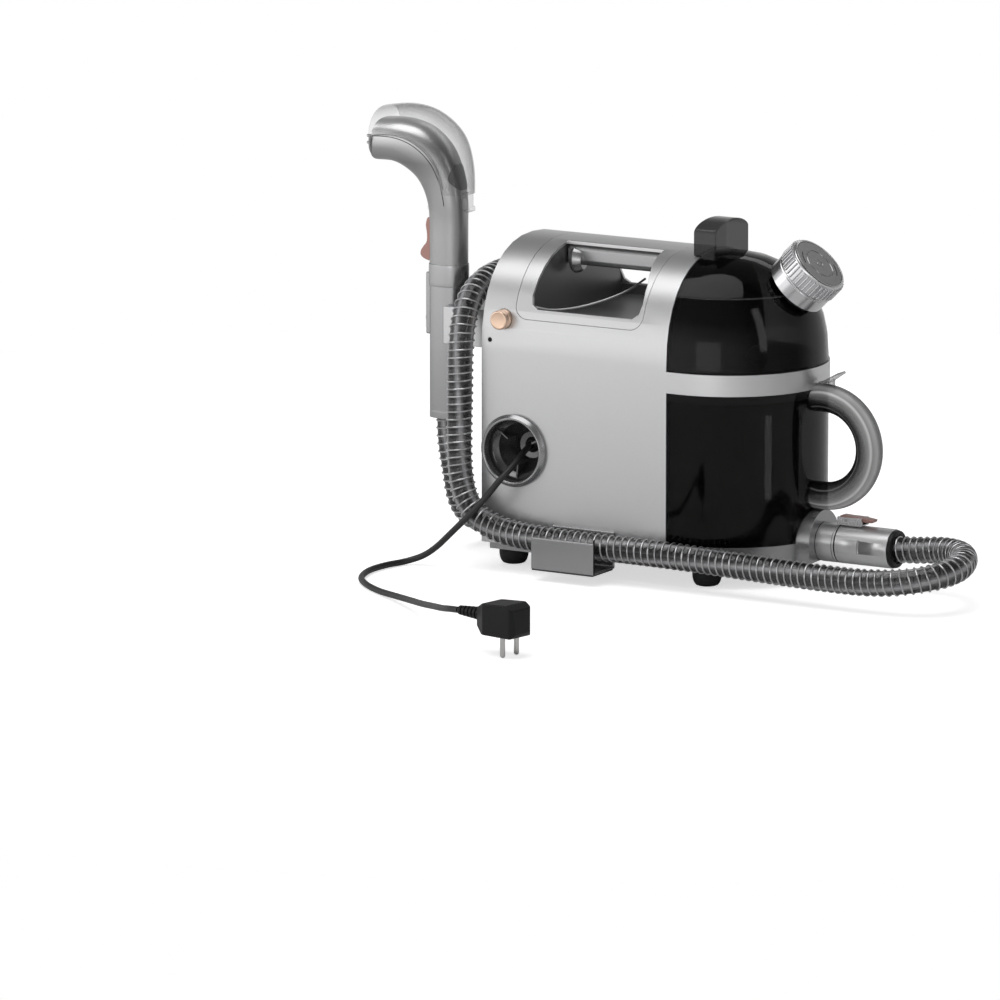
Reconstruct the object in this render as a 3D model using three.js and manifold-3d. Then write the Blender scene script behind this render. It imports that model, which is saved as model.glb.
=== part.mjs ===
// A spot carpet cleaner: an arch-topped machine with a clean-water tank over a dirty-water jug at
// its right end, a corrugated suction hose that runs through a clip along the front, over a hook
// on the left end and into a spray wand in its dock, and a mains cord that leaves a round port.
// Millimetres, +Z up, +X towards the tanks, -Y is the front. The assembly is first laid out about
// the upright axis of the jug, then moved so that the origin is the middle of its footprint.
import * as THREE from "three";
import { mergeVertices } from "three/addons/utils/BufferGeometryUtils.js";
import Module from "manifold-3d";

const wasm = await Module();
wasm.setup();

// ---------------------------------------------------------------- driving dimensions
const GAP = 0.3; // clearance that every pair of touching pieces keeps
const WALL = 3; // moulded wall of the housing and its covers

const HALF_DEPTH = 96; // half of the machine's depth, and the radius of its round right end
const LEFT_X = -214.7; // rim of the housing at the left end
const SPLIT_X = -13.5; // where the housing ends and the two water vessels begin
const TOP_Z = 308; // ridge of the arch
const SPRING_Z = TOP_Z - 100; // height where the straight sides turn into the arch
const ARCH_POWER = 2.3; // 2 is an ellipse, larger is squarer
const ARCH_STEPS = 18;
const ROUND_STEPS = 32; // facets of the round right end

const FOOT_HEIGHT = 16;
const FOOT_RADIUS = 14;
const FOOT_X = [-193, 18];
const FOOT_Y = HALF_DEPTH - 24;
const TRAY_THICKNESS = 6; // plate under the whole machine
const JUG_FLOOR_Z = 40.3; // underside of the jug, top of the base
const BAND_LOW_Z = 184.4; // silver band between jug and tank
const BAND_HIGH_Z = 204.6;
const DECK_THICKNESS = 6;

const INLET_Z = 38.5; // height of the hose inlet's axis, which lies along +X
const INLET_RADIUS = 18.7;
const INLET_BORE = 13.5;
const RAIL_RADIUS = 30; // half-round rail on the base that the jug slides along
const SADDLE_X = HALF_DEPTH + 8; // outer face of the saddle round the inlet
const INLET_END_X = SADDLE_X + 17;

const TANK_WALL = 2.5;
const TANK_SEAM_Z = TOP_Z - 34; // joint between the two halves of the clean tank
const NECK_CENTRE = new THREE.Vector3(HALF_DEPTH - 30, 0, TOP_Z - 36); // a point on the filler's axis, near its root
const NECK_TILT = 45; // degrees from upright, towards +X
const NECK_RADIUS = 24;
const NECK_LENGTH = 22;
const CAP_RADIUS = 32;
const CAP_HEIGHT = 36;

const GRIP_LENGTH_X = 24; // lifting block on the clean tank
const GRIP_HALF_Y = 32.7;
const GRIP_LOW_Z = TOP_Z - 8;
const GRIP_SHOULDER_Z = TOP_Z + 21;
const GRIP_TOP_Z = TOP_Z + 32;
const GRIP_LEFT_X = -20.7;

const HANDLE_OUTER = 60; // D-shaped handle of the jug
const HANDLE_INNER = 34;
const HANDLE_CENTRE_X = HALF_DEPTH + 9;
const HANDLE_CENTRE_Z = 129;
const HANDLE_HALF_WIDTH = 12;

const HOSE_DIAMETER = 26;
const COUPLING_LENGTH = 63;
const COUPLING_BORE = 13.6;

const WAND_X = -278; // the docked wand stands upright here
const WAND_Y = -50;
const WAND_BOTTOM_Z = 134;
const WAND_HALF_X = 18.5; // half sizes of its oval section
const WAND_HALF_Y = 15.5;

const PORT_MARGIN = 5.7; // from the housing's left rim to the round recess that the mains cord leaves by
const PORT_Z = 113.9;
const PORT_INNER = 30.6;
const PORT_X = LEFT_X + PORT_INNER + PORT_MARGIN;
const PORT_RIM = 3.4; // width of the ring round the port
const PORT_OUTER = PORT_INNER + PORT_RIM;
const PORT_PROUD = 7;
const PORT_DEPTH = 34;

const CORD_DIAMETER = 6;
const CORD_SIDES = 8;
const HOSE_SIDES = 10;

// ---------------------------------------------------------------- materials
const finish = (color, roughness, metalness, opacity = 1) =>
  new THREE.MeshStandardMaterial({ color, roughness, metalness, opacity, transparent: opacity < 1 });

const SILVER = finish(0xb9bbbd, 0.38, 0.75);
const SATIN = finish(0x8d8f92, 0.35, 0.8);
const GRAPHITE = finish(0x2b2d30, 0.5, 0.1);
const BLACK = finish(0x121314, 0.45, 0);
const SMOKE = finish(0x1c1d1f, 0.08, 0, 0.55);
const CLEAR = finish(0xd9dcde, 0.06, 0, 0.35);
const ROSE = finish(0xd79a86, 0.3, 0.7);
const RUBBER = finish(0x18191a, 0.85, 0);
const STEEL = finish(0xc4c6c8, 0.25, 1);
const BOARD = finish(0x1f6b3d, 0.6, 0);

// ---------------------------------------------------------------- solids
// A closed geometry as a manifold-3d solid that faces outwards.
function solidOf(geometry) {
  const bare = new THREE.BufferGeometry();
  bare.setAttribute("position", geometry.getAttribute("position").clone());
  if (geometry.index) bare.setIndex(geometry.index.clone());
  const merged = geometry.userData.welded ? bare : mergeVertices(bare, 1e-4);
  const corners = Array.from(merged.index.array);
  const triVerts = [];
  for (let i = 0; i < corners.length; i += 3) {
    const [a, b, c] = corners.slice(i, i + 3);
    if (a !== b && b !== c && c !== a) triVerts.push(a, b, c);
  }
  const build = (list) =>
    new wasm.Manifold(
      new wasm.Mesh({
        numProp: 3,
        vertProperties: merged.attributes.position.array,
        triVerts: new Uint32Array(list),
      }),
    );
  const made = build(triVerts);
  if (made.volume() > 0) return made;
  const turned = [];
  for (let i = 0; i < triVerts.length; i += 3) {
    turned.push(triVerts[i], triVerts[i + 2], triVerts[i + 1]);
  }
  return build(turned);
}

function geometryOf(solid) {
  const mesh = solid.getMesh();
  const positions = new Float32Array(mesh.numVert * 3);
  for (let i = 0; i < mesh.numVert; i++) {
    const start = i * mesh.numProp;
    positions.set(mesh.vertProperties.subarray(start, start + 3), i * 3);
  }
  const geometry = new THREE.BufferGeometry();
  geometry.setAttribute("position", new THREE.BufferAttribute(positions, 3));
  geometry.setIndex(new THREE.BufferAttribute(new Uint32Array(mesh.triVerts), 1));
  geometry.computeVertexNormals();
  geometry.userData.welded = true;
  return geometry;
}

const join = (...pieces) => geometryOf(pieces.map(solidOf).reduce((all, next) => all.add(next)));
const cut = (piece, ...tools) =>
  geometryOf(tools.map(solidOf).reduce((rest, tool) => rest.subtract(tool), solidOf(piece)));
const common = (a, b) => geometryOf(solidOf(a).intersect(solidOf(b)));

// ---------------------------------------------------------------- shapes
const ALONG_X = new THREE.Matrix4().makeBasis(
  new THREE.Vector3(0, 1, 0),
  new THREE.Vector3(0, 0, 1),
  new THREE.Vector3(1, 0, 0),
);
const ALONG_Y = new THREE.Matrix4().makeBasis(
  new THREE.Vector3(-1, 0, 0),
  new THREE.Vector3(0, 0, 1),
  new THREE.Vector3(0, 1, 0),
);

function extrudeZ(shape, low, high, curveSegments = 12) {
  const geometry = new THREE.ExtrudeGeometry(shape, {
    depth: high - low,
    bevelEnabled: false,
    curveSegments,
  });
  return geometry.translate(0, 0, low);
}
// A shape drawn in (y, z), swept from x = low to x = high.
const extrudeX = (shape, low, high, curveSegments) =>
  extrudeZ(shape, low, high, curveSegments).applyMatrix4(ALONG_X);
// A shape drawn in (-x, z), swept from y = low to y = high.
const extrudeY = (shape, low, high, curveSegments) =>
  extrudeZ(shape, low, high, curveSegments).applyMatrix4(ALONG_Y);

const outline = (points) => new THREE.Shape(points.map(([x, y]) => new THREE.Vector2(x, y)));
// A closed outline in the (x, z) plane, ready for extrudeY.
const sideOutline = (points) => outline(points.map(([x, z]) => [-x, z]));

function roundedRect(halfX, halfY, radius) {
  const shape = new THREE.Shape();
  shape.moveTo(-halfX + radius, -halfY);
  shape.lineTo(halfX - radius, -halfY);
  shape.absarc(halfX - radius, -halfY + radius, radius, -Math.PI / 2, 0);
  shape.lineTo(halfX, halfY - radius);
  shape.absarc(halfX - radius, halfY - radius, radius, 0, Math.PI / 2);
  shape.lineTo(-halfX + radius, halfY);
  shape.absarc(-halfX + radius, halfY - radius, radius, Math.PI / 2, Math.PI);
  shape.lineTo(-halfX, -halfY + radius);
  shape.absarc(-halfX + radius, -halfY + radius, radius, Math.PI, 1.5 * Math.PI);
  return shape;
}

function box(lowX, highX, lowY, highY, lowZ, highZ) {
  const geometry = new THREE.BoxGeometry(highX - lowX, highY - lowY, highZ - lowZ);
  return geometry.translate((lowX + highX) / 2, (lowY + highY) / 2, (lowZ + highZ) / 2);
}

// A turned solid about Z from a profile of [radius, z] points.
function turned(profile, segments = 20) {
  const points = profile.map(([r, z]) => new THREE.Vector2(r, z));
  return new THREE.LatheGeometry(points, segments).rotateX(Math.PI / 2);
}
const rod = (radius, low, high, segments = 16) =>
  turned([[0, low], [radius, low], [radius, high], [0, high]], segments);
const pipe = (outer, inner, low, high, segments = 20) =>
  turned([[inner, low], [outer, low], [outer, high], [inner, high], [inner, low]], segments);
const lieAlongX = (geometry) => geometry.rotateY(Math.PI / 2);
const lieAlongY = (geometry) => geometry.rotateX(Math.PI / 2);

// A point of the arch's quarter, at angle t from the spring line (0) to the ridge (90 degrees).
function archPoint(t, halfDepth, rise) {
  const share = 2 / ARCH_POWER;
  return [halfDepth * Math.cos(t) ** share, rise * Math.sin(t) ** share];
}

// The machine's cross-section in (y, z): straight sides up to the spring line, then the arch. The
// outline is drawn inset from the outside by a wall.
function archOutline(inset, lowZ) {
  const half = HALF_DEPTH - inset;
  const rise = TOP_Z - SPRING_Z - inset;
  const points = [[-half, lowZ], [half, lowZ]];
  for (let i = 0; i <= ARCH_STEPS; i++) {
    const t = (Math.PI * i) / ARCH_STEPS;
    const quarter = t <= Math.PI / 2 ? t : Math.PI - t;
    const [y, z] = archPoint(Math.min(quarter, Math.PI / 2), half, rise);
    points.push([t <= Math.PI / 2 ? y : -y, SPRING_Z + z]);
  }
  return outline(points);
}
function archBlock(inset, lowX, highX, lowZ) {
  const block = extrudeX(archOutline(inset, Math.min(lowZ, SPRING_Z - 1)), lowX, highX);
  return lowZ < SPRING_Z ? block : cut(block, box(lowX - 1, highX + 1, -200, 200, 0, lowZ));
}

// The footprint seen from above: a straight part from lowX to the jug's axis, then a half circle.
function footprint(inset, lowX) {
  const radius = HALF_DEPTH - inset;
  const shape = new THREE.Shape();
  shape.moveTo(lowX, -radius);
  shape.lineTo(0, -radius);
  shape.absarc(0, 0, radius, -Math.PI / 2, Math.PI / 2);
  shape.lineTo(lowX, radius);
  return shape;
}
const footprintBlock = (inset, lowX, lowZ, highZ) =>
  extrudeZ(footprint(inset, lowX), lowZ, highZ, ROUND_STEPS / 2);

// The rail's section in (y, z): a half circle over straight sides.
function railOutline(radius, lowZ) {
  const shape = new THREE.Shape();
  shape.moveTo(-radius, lowZ);
  shape.lineTo(radius, lowZ);
  shape.absarc(0, INLET_Z, radius, 0, Math.PI);
  return shape;
}

// ---------------------------------------------------------------- scene graph
const assembly = new THREE.Group();
const cordPieces = new THREE.Group(); // the free cord, the hose, and what is on them
assembly.add(cordPieces);

function add(parent, name, geometry, material) {
  const mesh = new THREE.Mesh(geometry, material);
  mesh.name = name;
  parent.add(mesh);
  return mesh;
}

const points = (list) => list.map(([x, y, z]) => new THREE.Vector3(x, y, z));

// ---------------------------------------------------------------- housing and base
const DECK_LOW_Z = BAND_HIGH_Z - DECK_THICKNESS;
const VESSEL_X = SPLIT_X + GAP; // left faces of tank and jug
const WINDOW = { left: -165, right: -46, low: TOP_Z - 58, high: TOP_Z + 1 }; // carry-handle opening, seen from the front
const SURROUND_LEFT_X = -181;
const SURROUND_RIGHT_X = -42;
const SURROUND_LOW_Z = TOP_Z - 68;
const BAR_HALF_DEPTH = 23;
const BAR_LOW_Z = TOP_Z - 25;
const TUB_FLOOR_Z = TOP_Z - 72;
const BUTTON_X = -192.5;
const BUTTON_Z = SPRING_Z + 30.6;
const BUTTON_RADIUS = 9.5;
const LENS_X = -205.8;
const LENS_Z = SPRING_Z + 10;
const CLIP = { left: -136, right: -68, front: -138, low: 11, top: 41.5, wall: 2.5 };
const BRACKET = { halfY: 24, low: 205, high: 241 };
const HOOK = { halfY: 28, top: 252.5, lip: 264, lipX: -253 };
const END_X = LEFT_X + 2; // outer face of the recessed end cover

// The cheek's outline seen from the front: straight sides with round lower corners.
const SURROUND_CORNER = 14;
function cheekOutline(inset) {
  const [left, right, low] = [SURROUND_LEFT_X + inset, SURROUND_RIGHT_X - inset, SURROUND_LOW_Z + inset];
  const radius = SURROUND_CORNER - inset;
  const shape = new THREE.Shape();
  shape.moveTo(-right, TOP_Z + 22);
  shape.lineTo(-right, low + radius);
  shape.absarc(-right + radius, low + radius, radius, Math.PI, 1.5 * Math.PI);
  shape.lineTo(-left - radius, low);
  shape.absarc(-left - radius, low + radius, radius, 1.5 * Math.PI, 2 * Math.PI);
  shape.lineTo(-left, TOP_Z + 22);
  return shape;
}

function mainHousing() {
  const tunnel = archBlock(WALL, LEFT_X - 1, SPLIT_X + 1, 0);
  const below = box(LEFT_X - 1, SPLIT_X + 1, -HALF_DEPTH - 1, HALF_DEPTH + 1, -1, FOOT_HEIGHT + TRAY_THICKNESS + GAP);
  const shell = cut(archBlock(0, LEFT_X, SPLIT_X, 0), tunnel, below);
  const band = cut(
    footprintBlock(0, SPLIT_X - 2, BAND_LOW_Z, BAND_HIGH_Z),
    footprintBlock(WALL, SPLIT_X - 5, BAND_LOW_Z - 1, DECK_LOW_Z),
  );
  const drain = rod(9, DECK_LOW_Z - 1, BAND_HIGH_Z + 1, 16).translate(VALVE_X, 0, 0);
  const surroundHole = extrudeY(cheekOutline(0), -HALF_DEPTH - 24, HALF_DEPTH + 24);
  const port = lieAlongY(rod(PORT_OUTER - 2 + GAP, HALF_DEPTH - 16, HALF_DEPTH + 14, 24)).translate(PORT_X, 0, PORT_Z);
  const button = lieAlongY(rod(BUTTON_RADIUS + GAP, HALF_DEPTH - 36, HALF_DEPTH + 14)).translate(BUTTON_X, 0, BUTTON_Z);
  const lens = lieAlongY(rod(2 + GAP, HALF_DEPTH - 36, HALF_DEPTH + 14, 12)).translate(LENS_X, 0, LENS_Z);
  return cut(join(shell, band), drain, surroundHole, port, button, lens);
}

// Cuts the two finger openings, one through each slope, and leaves the ridge between them.
function windowTool(side) {
  const { left, right, low, high } = WINDOW;
  const shape = sideOutline([
    [left + 3, high + 20], [left, low + 12], [left + 2, low + 4], [left + 8, low],
    [right - 9, low], [right - 2, low + 5], [right, low + 14], [right - 2, low + 32],
    [right - 13, high], [right - 13, high + 20],
  ]);
  return side < 0 ? extrudeY(shape, -HALF_DEPTH - 24, -BAR_HALF_DEPTH) : extrudeY(shape, BAR_HALF_DEPTH, HALF_DEPTH + 24);
}

function handleSurround() {
  const skin = cut(
    common(archBlock(0, SURROUND_LEFT_X, SURROUND_RIGHT_X, SURROUND_LOW_Z), extrudeY(cheekOutline(GAP), -HALF_DEPTH - 24, HALF_DEPTH + 24)),
    archBlock(WALL, SURROUND_LEFT_X - 1, SURROUND_RIGHT_X + 1, 0),
  );
  return cut(skin, windowTool(-1), windowTool(1));
}

// The bar hangs under the ridge, between the end walls of the tub.
function carryGrip() {
  const top = TOP_Z - WALL - GAP - 1.4;
  const section = roundedRect(BAR_HALF_DEPTH - 1, (top - BAR_LOW_Z) / 2, 6).getPoints(4);
  const bar = outline(section.map((p) => [p.x, p.y + (top + BAR_LOW_Z) / 2]));
  return common(
    extrudeX(bar, WINDOW.left + 1 + GAP, WINDOW.right - 12),
    archBlock(WALL + GAP, WINDOW.left - 5, WINDOW.right + 5, 0),
  );
}

function handleTub() {
  const left = WINDOW.left - WALL;
  const right = WINDOW.right + WALL - GAP;
  const outer = archBlock(WALL + GAP, left, right, TUB_FLOOR_Z);
  const hollow = archBlock(2 * WALL + GAP, left + WALL, right - WALL, TUB_FLOOR_Z + WALL);
  const roof = box(left + WALL, right - WALL, -HALF_DEPTH + 12, HALF_DEPTH - 12, WINDOW.low + 8, TOP_Z + 22);
  const head = box(left + WALL, right - WALL, -HALF_DEPTH - 4, HALF_DEPTH + 4, WINDOW.low - 0.5, TOP_Z + 22);
  return cut(outer, hollow, roof, head);
}

function baseTray() {
  const plateTop = FOOT_HEIGHT + TRAY_THICKNESS;
  const plate = footprintBlock(WALL + GAP, LEFT_X + WALL + 4, FOOT_HEIGHT, plateTop);
  const step = cut(
    footprintBlock(0, VESSEL_X, plateTop - 1, JUG_FLOOR_Z - GAP),
    footprintBlock(WALL, VESSEL_X - 1, plateTop, JUG_FLOOR_Z - GAP - WALL),
  );
  const rail = extrudeX(railOutline(RAIL_RADIUS, plateTop - 1), VESSEL_X + 2, SADDLE_X);
  const railHollow = extrudeX(railOutline(INLET_RADIUS + 2, plateTop), VESSEL_X - 5, SADDLE_X - 12);
  const bore = lieAlongX(rod(INLET_BORE + 2 + GAP, 60, 130)).translate(0, 0, INLET_Z);
  const vents = [-152, -140, -128, -116].map((x) => box(x, x + 4, -30, 30, 0, plateTop + 1));
  const reelPost = rod(4, plateTop - 1, REEL.low + REEL.height + 6, 12).translate(REEL.x, REEL.y, 0);
  return join(cut(join(plate, step, rail), railHollow, bore, ...vents), reelPost);
}

// The arch-shaped plate that closes the left end, set back inside the housing's rim.
const endCover = () => archBlock(WALL + GAP, END_X, END_X + WALL, FOOT_HEIGHT + TRAY_THICKNESS + GAP);

function bulkhead() {
  const high = SPLIT_X - 3;
  const plate = archBlock(WALL + GAP, high - WALL, high, FOOT_HEIGHT + TRAY_THICKNESS + GAP);
  const suction = lieAlongX(rod(16, -60, 40)).translate(0, DUCT_Y, DUCT_Z);
  const supply = lieAlongX(rod(6, -60, 40)).translate(0, -16, LINE_Z);
  const foot = extrudeX(railOutline(INLET_RADIUS + 2.5, 0), -60, 28);
  return cut(plate, suction, supply, foot);
}

function foot(x, y) {
  const pad = turned([[0, 0], [9, 0], [12, 2], [FOOT_RADIUS, 9], [FOOT_RADIUS, FOOT_HEIGHT - GAP], [0, FOOT_HEIGHT - GAP]]);
  return pad.translate(x, y, 0);
}

const portRing = () =>
  lieAlongY(
    turned([
      [PORT_INNER, HALF_DEPTH - 2], [PORT_OUTER - 2, HALF_DEPTH - 2], [PORT_OUTER - 2, HALF_DEPTH + GAP],
      [PORT_OUTER + 1, HALF_DEPTH + GAP], [PORT_OUTER, HALF_DEPTH + PORT_PROUD], [PORT_INNER + 1, HALF_DEPTH + PORT_PROUD],
      [PORT_INNER, HALF_DEPTH + PORT_PROUD - 2], [PORT_INNER, HALF_DEPTH - 2],
    ], 24),
  ).translate(PORT_X, 0, PORT_Z);

const CUP_BOTTOM = HALF_DEPTH - PORT_DEPTH;
function portCup() {
  const wall = 2;
  const cup = turned([
    [0, CUP_BOTTOM - wall], [PORT_INNER - 4, CUP_BOTTOM - wall], [PORT_INNER, CUP_BOTTOM + 3],
    [PORT_INNER, HALF_DEPTH - 2 - GAP], [PORT_INNER - wall, HALF_DEPTH - 2 - GAP],
    [PORT_INNER - wall, CUP_BOTTOM + 4], [PORT_INNER - 6, CUP_BOTTOM], [0, CUP_BOTTOM],
  ], 24);
  const hole = lieAlongY(rod(5 + GAP, CUP_BOTTOM - 10, CUP_BOTTOM + 20, 16)).translate(PORT_X, 0, PORT_Z);
  return cut(lieAlongY(cup).translate(PORT_X, 0, PORT_Z), hole);
}
const cordEyelet = () =>
  lieAlongY(
    turned([
      [3.6, CUP_BOTTOM - 4], [5, CUP_BOTTOM - 4], [5, CUP_BOTTOM + GAP], [7, CUP_BOTTOM + GAP],
      [7, CUP_BOTTOM + 2], [5, CUP_BOTTOM + 4], [3.6, CUP_BOTTOM + 4], [3.6, CUP_BOTTOM - 4],
    ], 16),
  ).translate(PORT_X, 0, PORT_Z);

// A J of sheet metal: a tall back leg on the housing, a floor, and a low front leg.
function hoseClip() {
  const { left, right, front, low, top, wall } = CLIP;
  const back = -HALF_DEPTH - GAP;
  const section = outline([
    [front, low], [back, low], [back, top + 5], [back - wall, top + 5],
    [back - wall, low + wall], [front + wall, low + wall], [front + wall, top], [front, top],
  ]);
  return extrudeX(section, left, right);
}

// A cradle that the back of the wand rests in, open at the top and the left.
function dockBracket() {
  const { halfY, low, high } = BRACKET;
  const inner = WAND_HALF_Y + 1.5;
  const plate = box(END_X - 40, END_X - GAP, -halfY, halfY, low, high);
  const arms = box(WAND_X + 8, END_X - 39, -halfY, halfY, low, high);
  const seat = extrudeZ(roundedRect(WAND_HALF_X + 1.5, inner, 14), low - 1, high + 1).translate(WAND_X, 0, 0);
  const mouth = box(WAND_X - 60, WAND_X, -inner, inner, low - 1, high + 1);
  const core = box(END_X - 34, END_X - 6, -halfY + 4, halfY - 4, low - 1, high - 4);
  return cut(join(plate, arms), seat, mouth, core).translate(0, WAND_Y, 0);
}

// A saddle that the hose hangs over, with an upturned outer lip.
function hoseHook() {
  const { halfY, top, lip, lipX } = HOOK;
  const arm = sideOutline([
    [END_X - GAP, top - 10], [END_X - GAP, top], [lipX + 3, top], [lipX + 3, lip], [lipX, lip],
    [lipX, top - 5], [END_X - 10, top - 10],
  ]);
  return extrudeY(arm, -halfY, halfY);
}

function inletPipe() {
  return lieAlongX(pipe(INLET_RADIUS, INLET_BORE, SADDLE_X + GAP, INLET_END_X, 24)).translate(0, 0, INLET_Z);
}

// ---------------------------------------------------------------- inside the housing
const MOTOR = { x: -90, y: 0, z: 92, radius: 52, height: 74 };
const motorHousing = () =>
  cut(
    turned([
      [0, 0], [MOTOR.radius - 8, 0], [MOTOR.radius, 8], [MOTOR.radius, MOTOR.height], [30, MOTOR.height + 10], [0, MOTOR.height + 10],
    ], 20),
    rod(MOTOR.radius - 6, 44, MOTOR.height, 20),
    rod(14, 60, MOTOR.height + 20),
    rod(6, -5, 60),
  ).translate(MOTOR.x, MOTOR.y, MOTOR.z - MOTOR.height / 2);
// Fan disc on its shaft, free to turn inside the motor's upper chamber.
const suctionFan = () =>
  turned([
    [0, 4], [5, 4], [5, 48], [42, 48], [42, 52], [16, 60], [10, 66], [0, 66],
  ], 20).translate(MOTOR.x, MOTOR.y, MOTOR.z - MOTOR.height / 2);

const DUCT_RADIUS = 14;
const DUCT_Y = 30;
const DUCT_Z = 165;
// Carries the air from the jug's lid to the middle of the motor's fan chamber.
function suctionDuct() {
  const path = new THREE.CatmullRomCurve3([
    new THREE.Vector3(SPLIT_X - GAP, DUCT_Y, DUCT_Z),
    new THREE.Vector3(-30, DUCT_Y, DUCT_Z),
    new THREE.Vector3(-60, DUCT_Y - 6, DUCT_Z + 6),
    new THREE.Vector3(MOTOR.x + 4, 4, DUCT_Z - 4),
    new THREE.Vector3(MOTOR.x, MOTOR.y, MOTOR.z + MOTOR.height / 2 + 10 + GAP),
  ]);
  return tube(path, DUCT_RADIUS - 2, 12, 12);
}
const PUMP = { x: -62, y: -74, z: 58 };
const waterPump = () =>
  join(
    lieAlongX(rod(15, -24, 22, 16)),
    box(-30, -22, -17, 17, -17, 17),
    rod(5, 10, 26, 12).translate(8, 0, 0),
  ).translate(PUMP.x, PUMP.y, PUMP.z);
// Runs up from the pump, through the bulkhead above the jug, to the tank's valve.
const LINE_Z = 191.4;
function waterLine() {
  const path = new THREE.CatmullRomCurve3(points([
    [PUMP.x + 8, PUMP.y, PUMP.z + 26 + GAP], [PUMP.x + 8, PUMP.y, PUMP.z + 50], [-46, -62, 150], [-38, -30, 184],
    [-26, -18, LINE_Z], [-12, -14, LINE_Z], [8, -8, LINE_Z], [VALVE_X - 6, 0, LINE_Z],
  ]));
  return tube(path, 3.5, 18, 8);
}
const circuitBoard = () =>
  join(box(-150, -50, 70, 72, 60, 140), box(-140, -118, 71, 84, 70, 92), box(-100, -80, 71, 86, 100, 130));

// The cord's reel turns on an upright post of the base, behind the port.
const REEL = { x: PORT_X, y: 20, low: 59, height: 32, radius: 27, hub: 9 };
const reelDrum = () =>
  cut(
    turned([
      [0, 0], [REEL.radius, 0], [REEL.radius, 2], [REEL.hub, 2], [REEL.hub, REEL.height - 2],
      [REEL.radius, REEL.height - 2], [REEL.radius, REEL.height], [0, REEL.height],
    ], 20),
    rod(4 + GAP, -1, REEL.height + 1, 12),
  ).translate(REEL.x, REEL.y, REEL.low);
const cordWinding = () =>
  pipe(REEL.radius - 3, REEL.hub + GAP, REEL.low + 2 + GAP, REEL.low + REEL.height - 2 - GAP, 20)
    .translate(REEL.x, REEL.y, 0);

const BUTTON_FACE = HALF_DEPTH + 7;
const powerButton = () =>
  lieAlongY(
    turned([
      [0, HALF_DEPTH - 24], [BUTTON_RADIUS - 2, HALF_DEPTH - 24], [BUTTON_RADIUS, HALF_DEPTH - 18], [BUTTON_RADIUS, BUTTON_FACE - 1.5],
      [BUTTON_RADIUS - 1, BUTTON_FACE], [0, BUTTON_FACE],
    ], 20),
  ).translate(BUTTON_X, 0, BUTTON_Z);
const indicatorLens = () =>
  lieAlongY(
    turned([[0, HALF_DEPTH - 8], [2, HALF_DEPTH - 8], [2, HALF_DEPTH - 0.5], [0, HALF_DEPTH]], 12),
  ).translate(LENS_X, 0, LENS_Z);

// ---------------------------------------------------------------- tubes along a curve
function tube(path, radius, steps, sides) {
  const section = new THREE.Shape();
  for (let i = 0; i < sides; i++) {
    const angle = (2 * Math.PI * i) / sides;
    const x = radius * Math.cos(angle);
    const y = radius * Math.sin(angle);
    if (i === 0) section.moveTo(x, y);
    else section.lineTo(x, y);
  }
  return new THREE.ExtrudeGeometry(section, { steps, bevelEnabled: false, extrudePath: path });
}

// ---------------------------------------------------------------- clean-water tank
const CAP_AXIS = new THREE.Vector3(Math.sin(THREE.MathUtils.degToRad(NECK_TILT)), 0, Math.cos(THREE.MathUtils.degToRad(NECK_TILT)));
const tiltToNeck = (geometry) =>
  geometry.rotateY(THREE.MathUtils.degToRad(NECK_TILT)).translate(NECK_CENTRE.x, NECK_CENTRE.y, NECK_CENTRE.z);

// The tank's outer form: the arch up to the jug's axis, then the same profile turned about it.
function domeBlock(inset, lowX, lowZ) {
  const start = Math.min(lowZ, SPRING_Z - 1);
  const profile = [[0, start]];
  for (let i = 0; i <= ARCH_STEPS / 2; i++) {
    const [r, z] = archPoint((Math.PI * i) / ARCH_STEPS, HALF_DEPTH - inset, TOP_Z - SPRING_Z - inset);
    if (i === 0) profile.push([r, start]);
    profile.push([i === ARCH_STEPS / 2 ? 0 : r, SPRING_Z + z]);
  }
  const round = cut(turned(profile, ROUND_STEPS), box(-HALF_DEPTH - 1, 0, -HALF_DEPTH - 14, HALF_DEPTH + 14, 0, TOP_Z + 92));
  const whole = join(round, archBlock(inset, lowX, 0.001, start));
  return lowZ < SPRING_Z ? whole : cut(whole, box(-200, 200, -200, 200, 0, lowZ));
}

const TANK_LOW_Z = BAND_HIGH_Z + GAP;
const neckHole = () => tiltToNeck(rod(NECK_RADIUS + GAP, -30, 60, 24));
function tankBase() {
  const outer = domeBlock(1, VESSEL_X, TANK_LOW_Z);
  const inner = domeBlock(1 + TANK_WALL, VESSEL_X + TANK_WALL, TANK_LOW_Z + TANK_WALL);
  const reach = HALF_DEPTH + 24;
  const above = box(-reach, reach, -reach, reach, TANK_SEAM_Z - GAP / 2, TOP_Z + 92);
  const drain = rod(7, TANK_LOW_Z - 1, TANK_LOW_Z + 6, 12).translate(VALVE_X, 0, 0);
  return cut(outer, inner, above, drain, neckHole());
}
function tankTop() {
  const outer = domeBlock(1, VESSEL_X, TANK_SEAM_Z + GAP / 2);
  const inner = domeBlock(1 + TANK_WALL, VESSEL_X + TANK_WALL, 0);
  const gripSeat = box(GRIP_LEFT_X - 1, GRIP_LEFT_X + GRIP_LENGTH_X + GAP, -GRIP_HALF_Y - GAP, GRIP_HALF_Y + GAP, GRIP_LOW_Z - 4, 400);
  return cut(outer, inner, gripSeat, neckHole());
}
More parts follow.
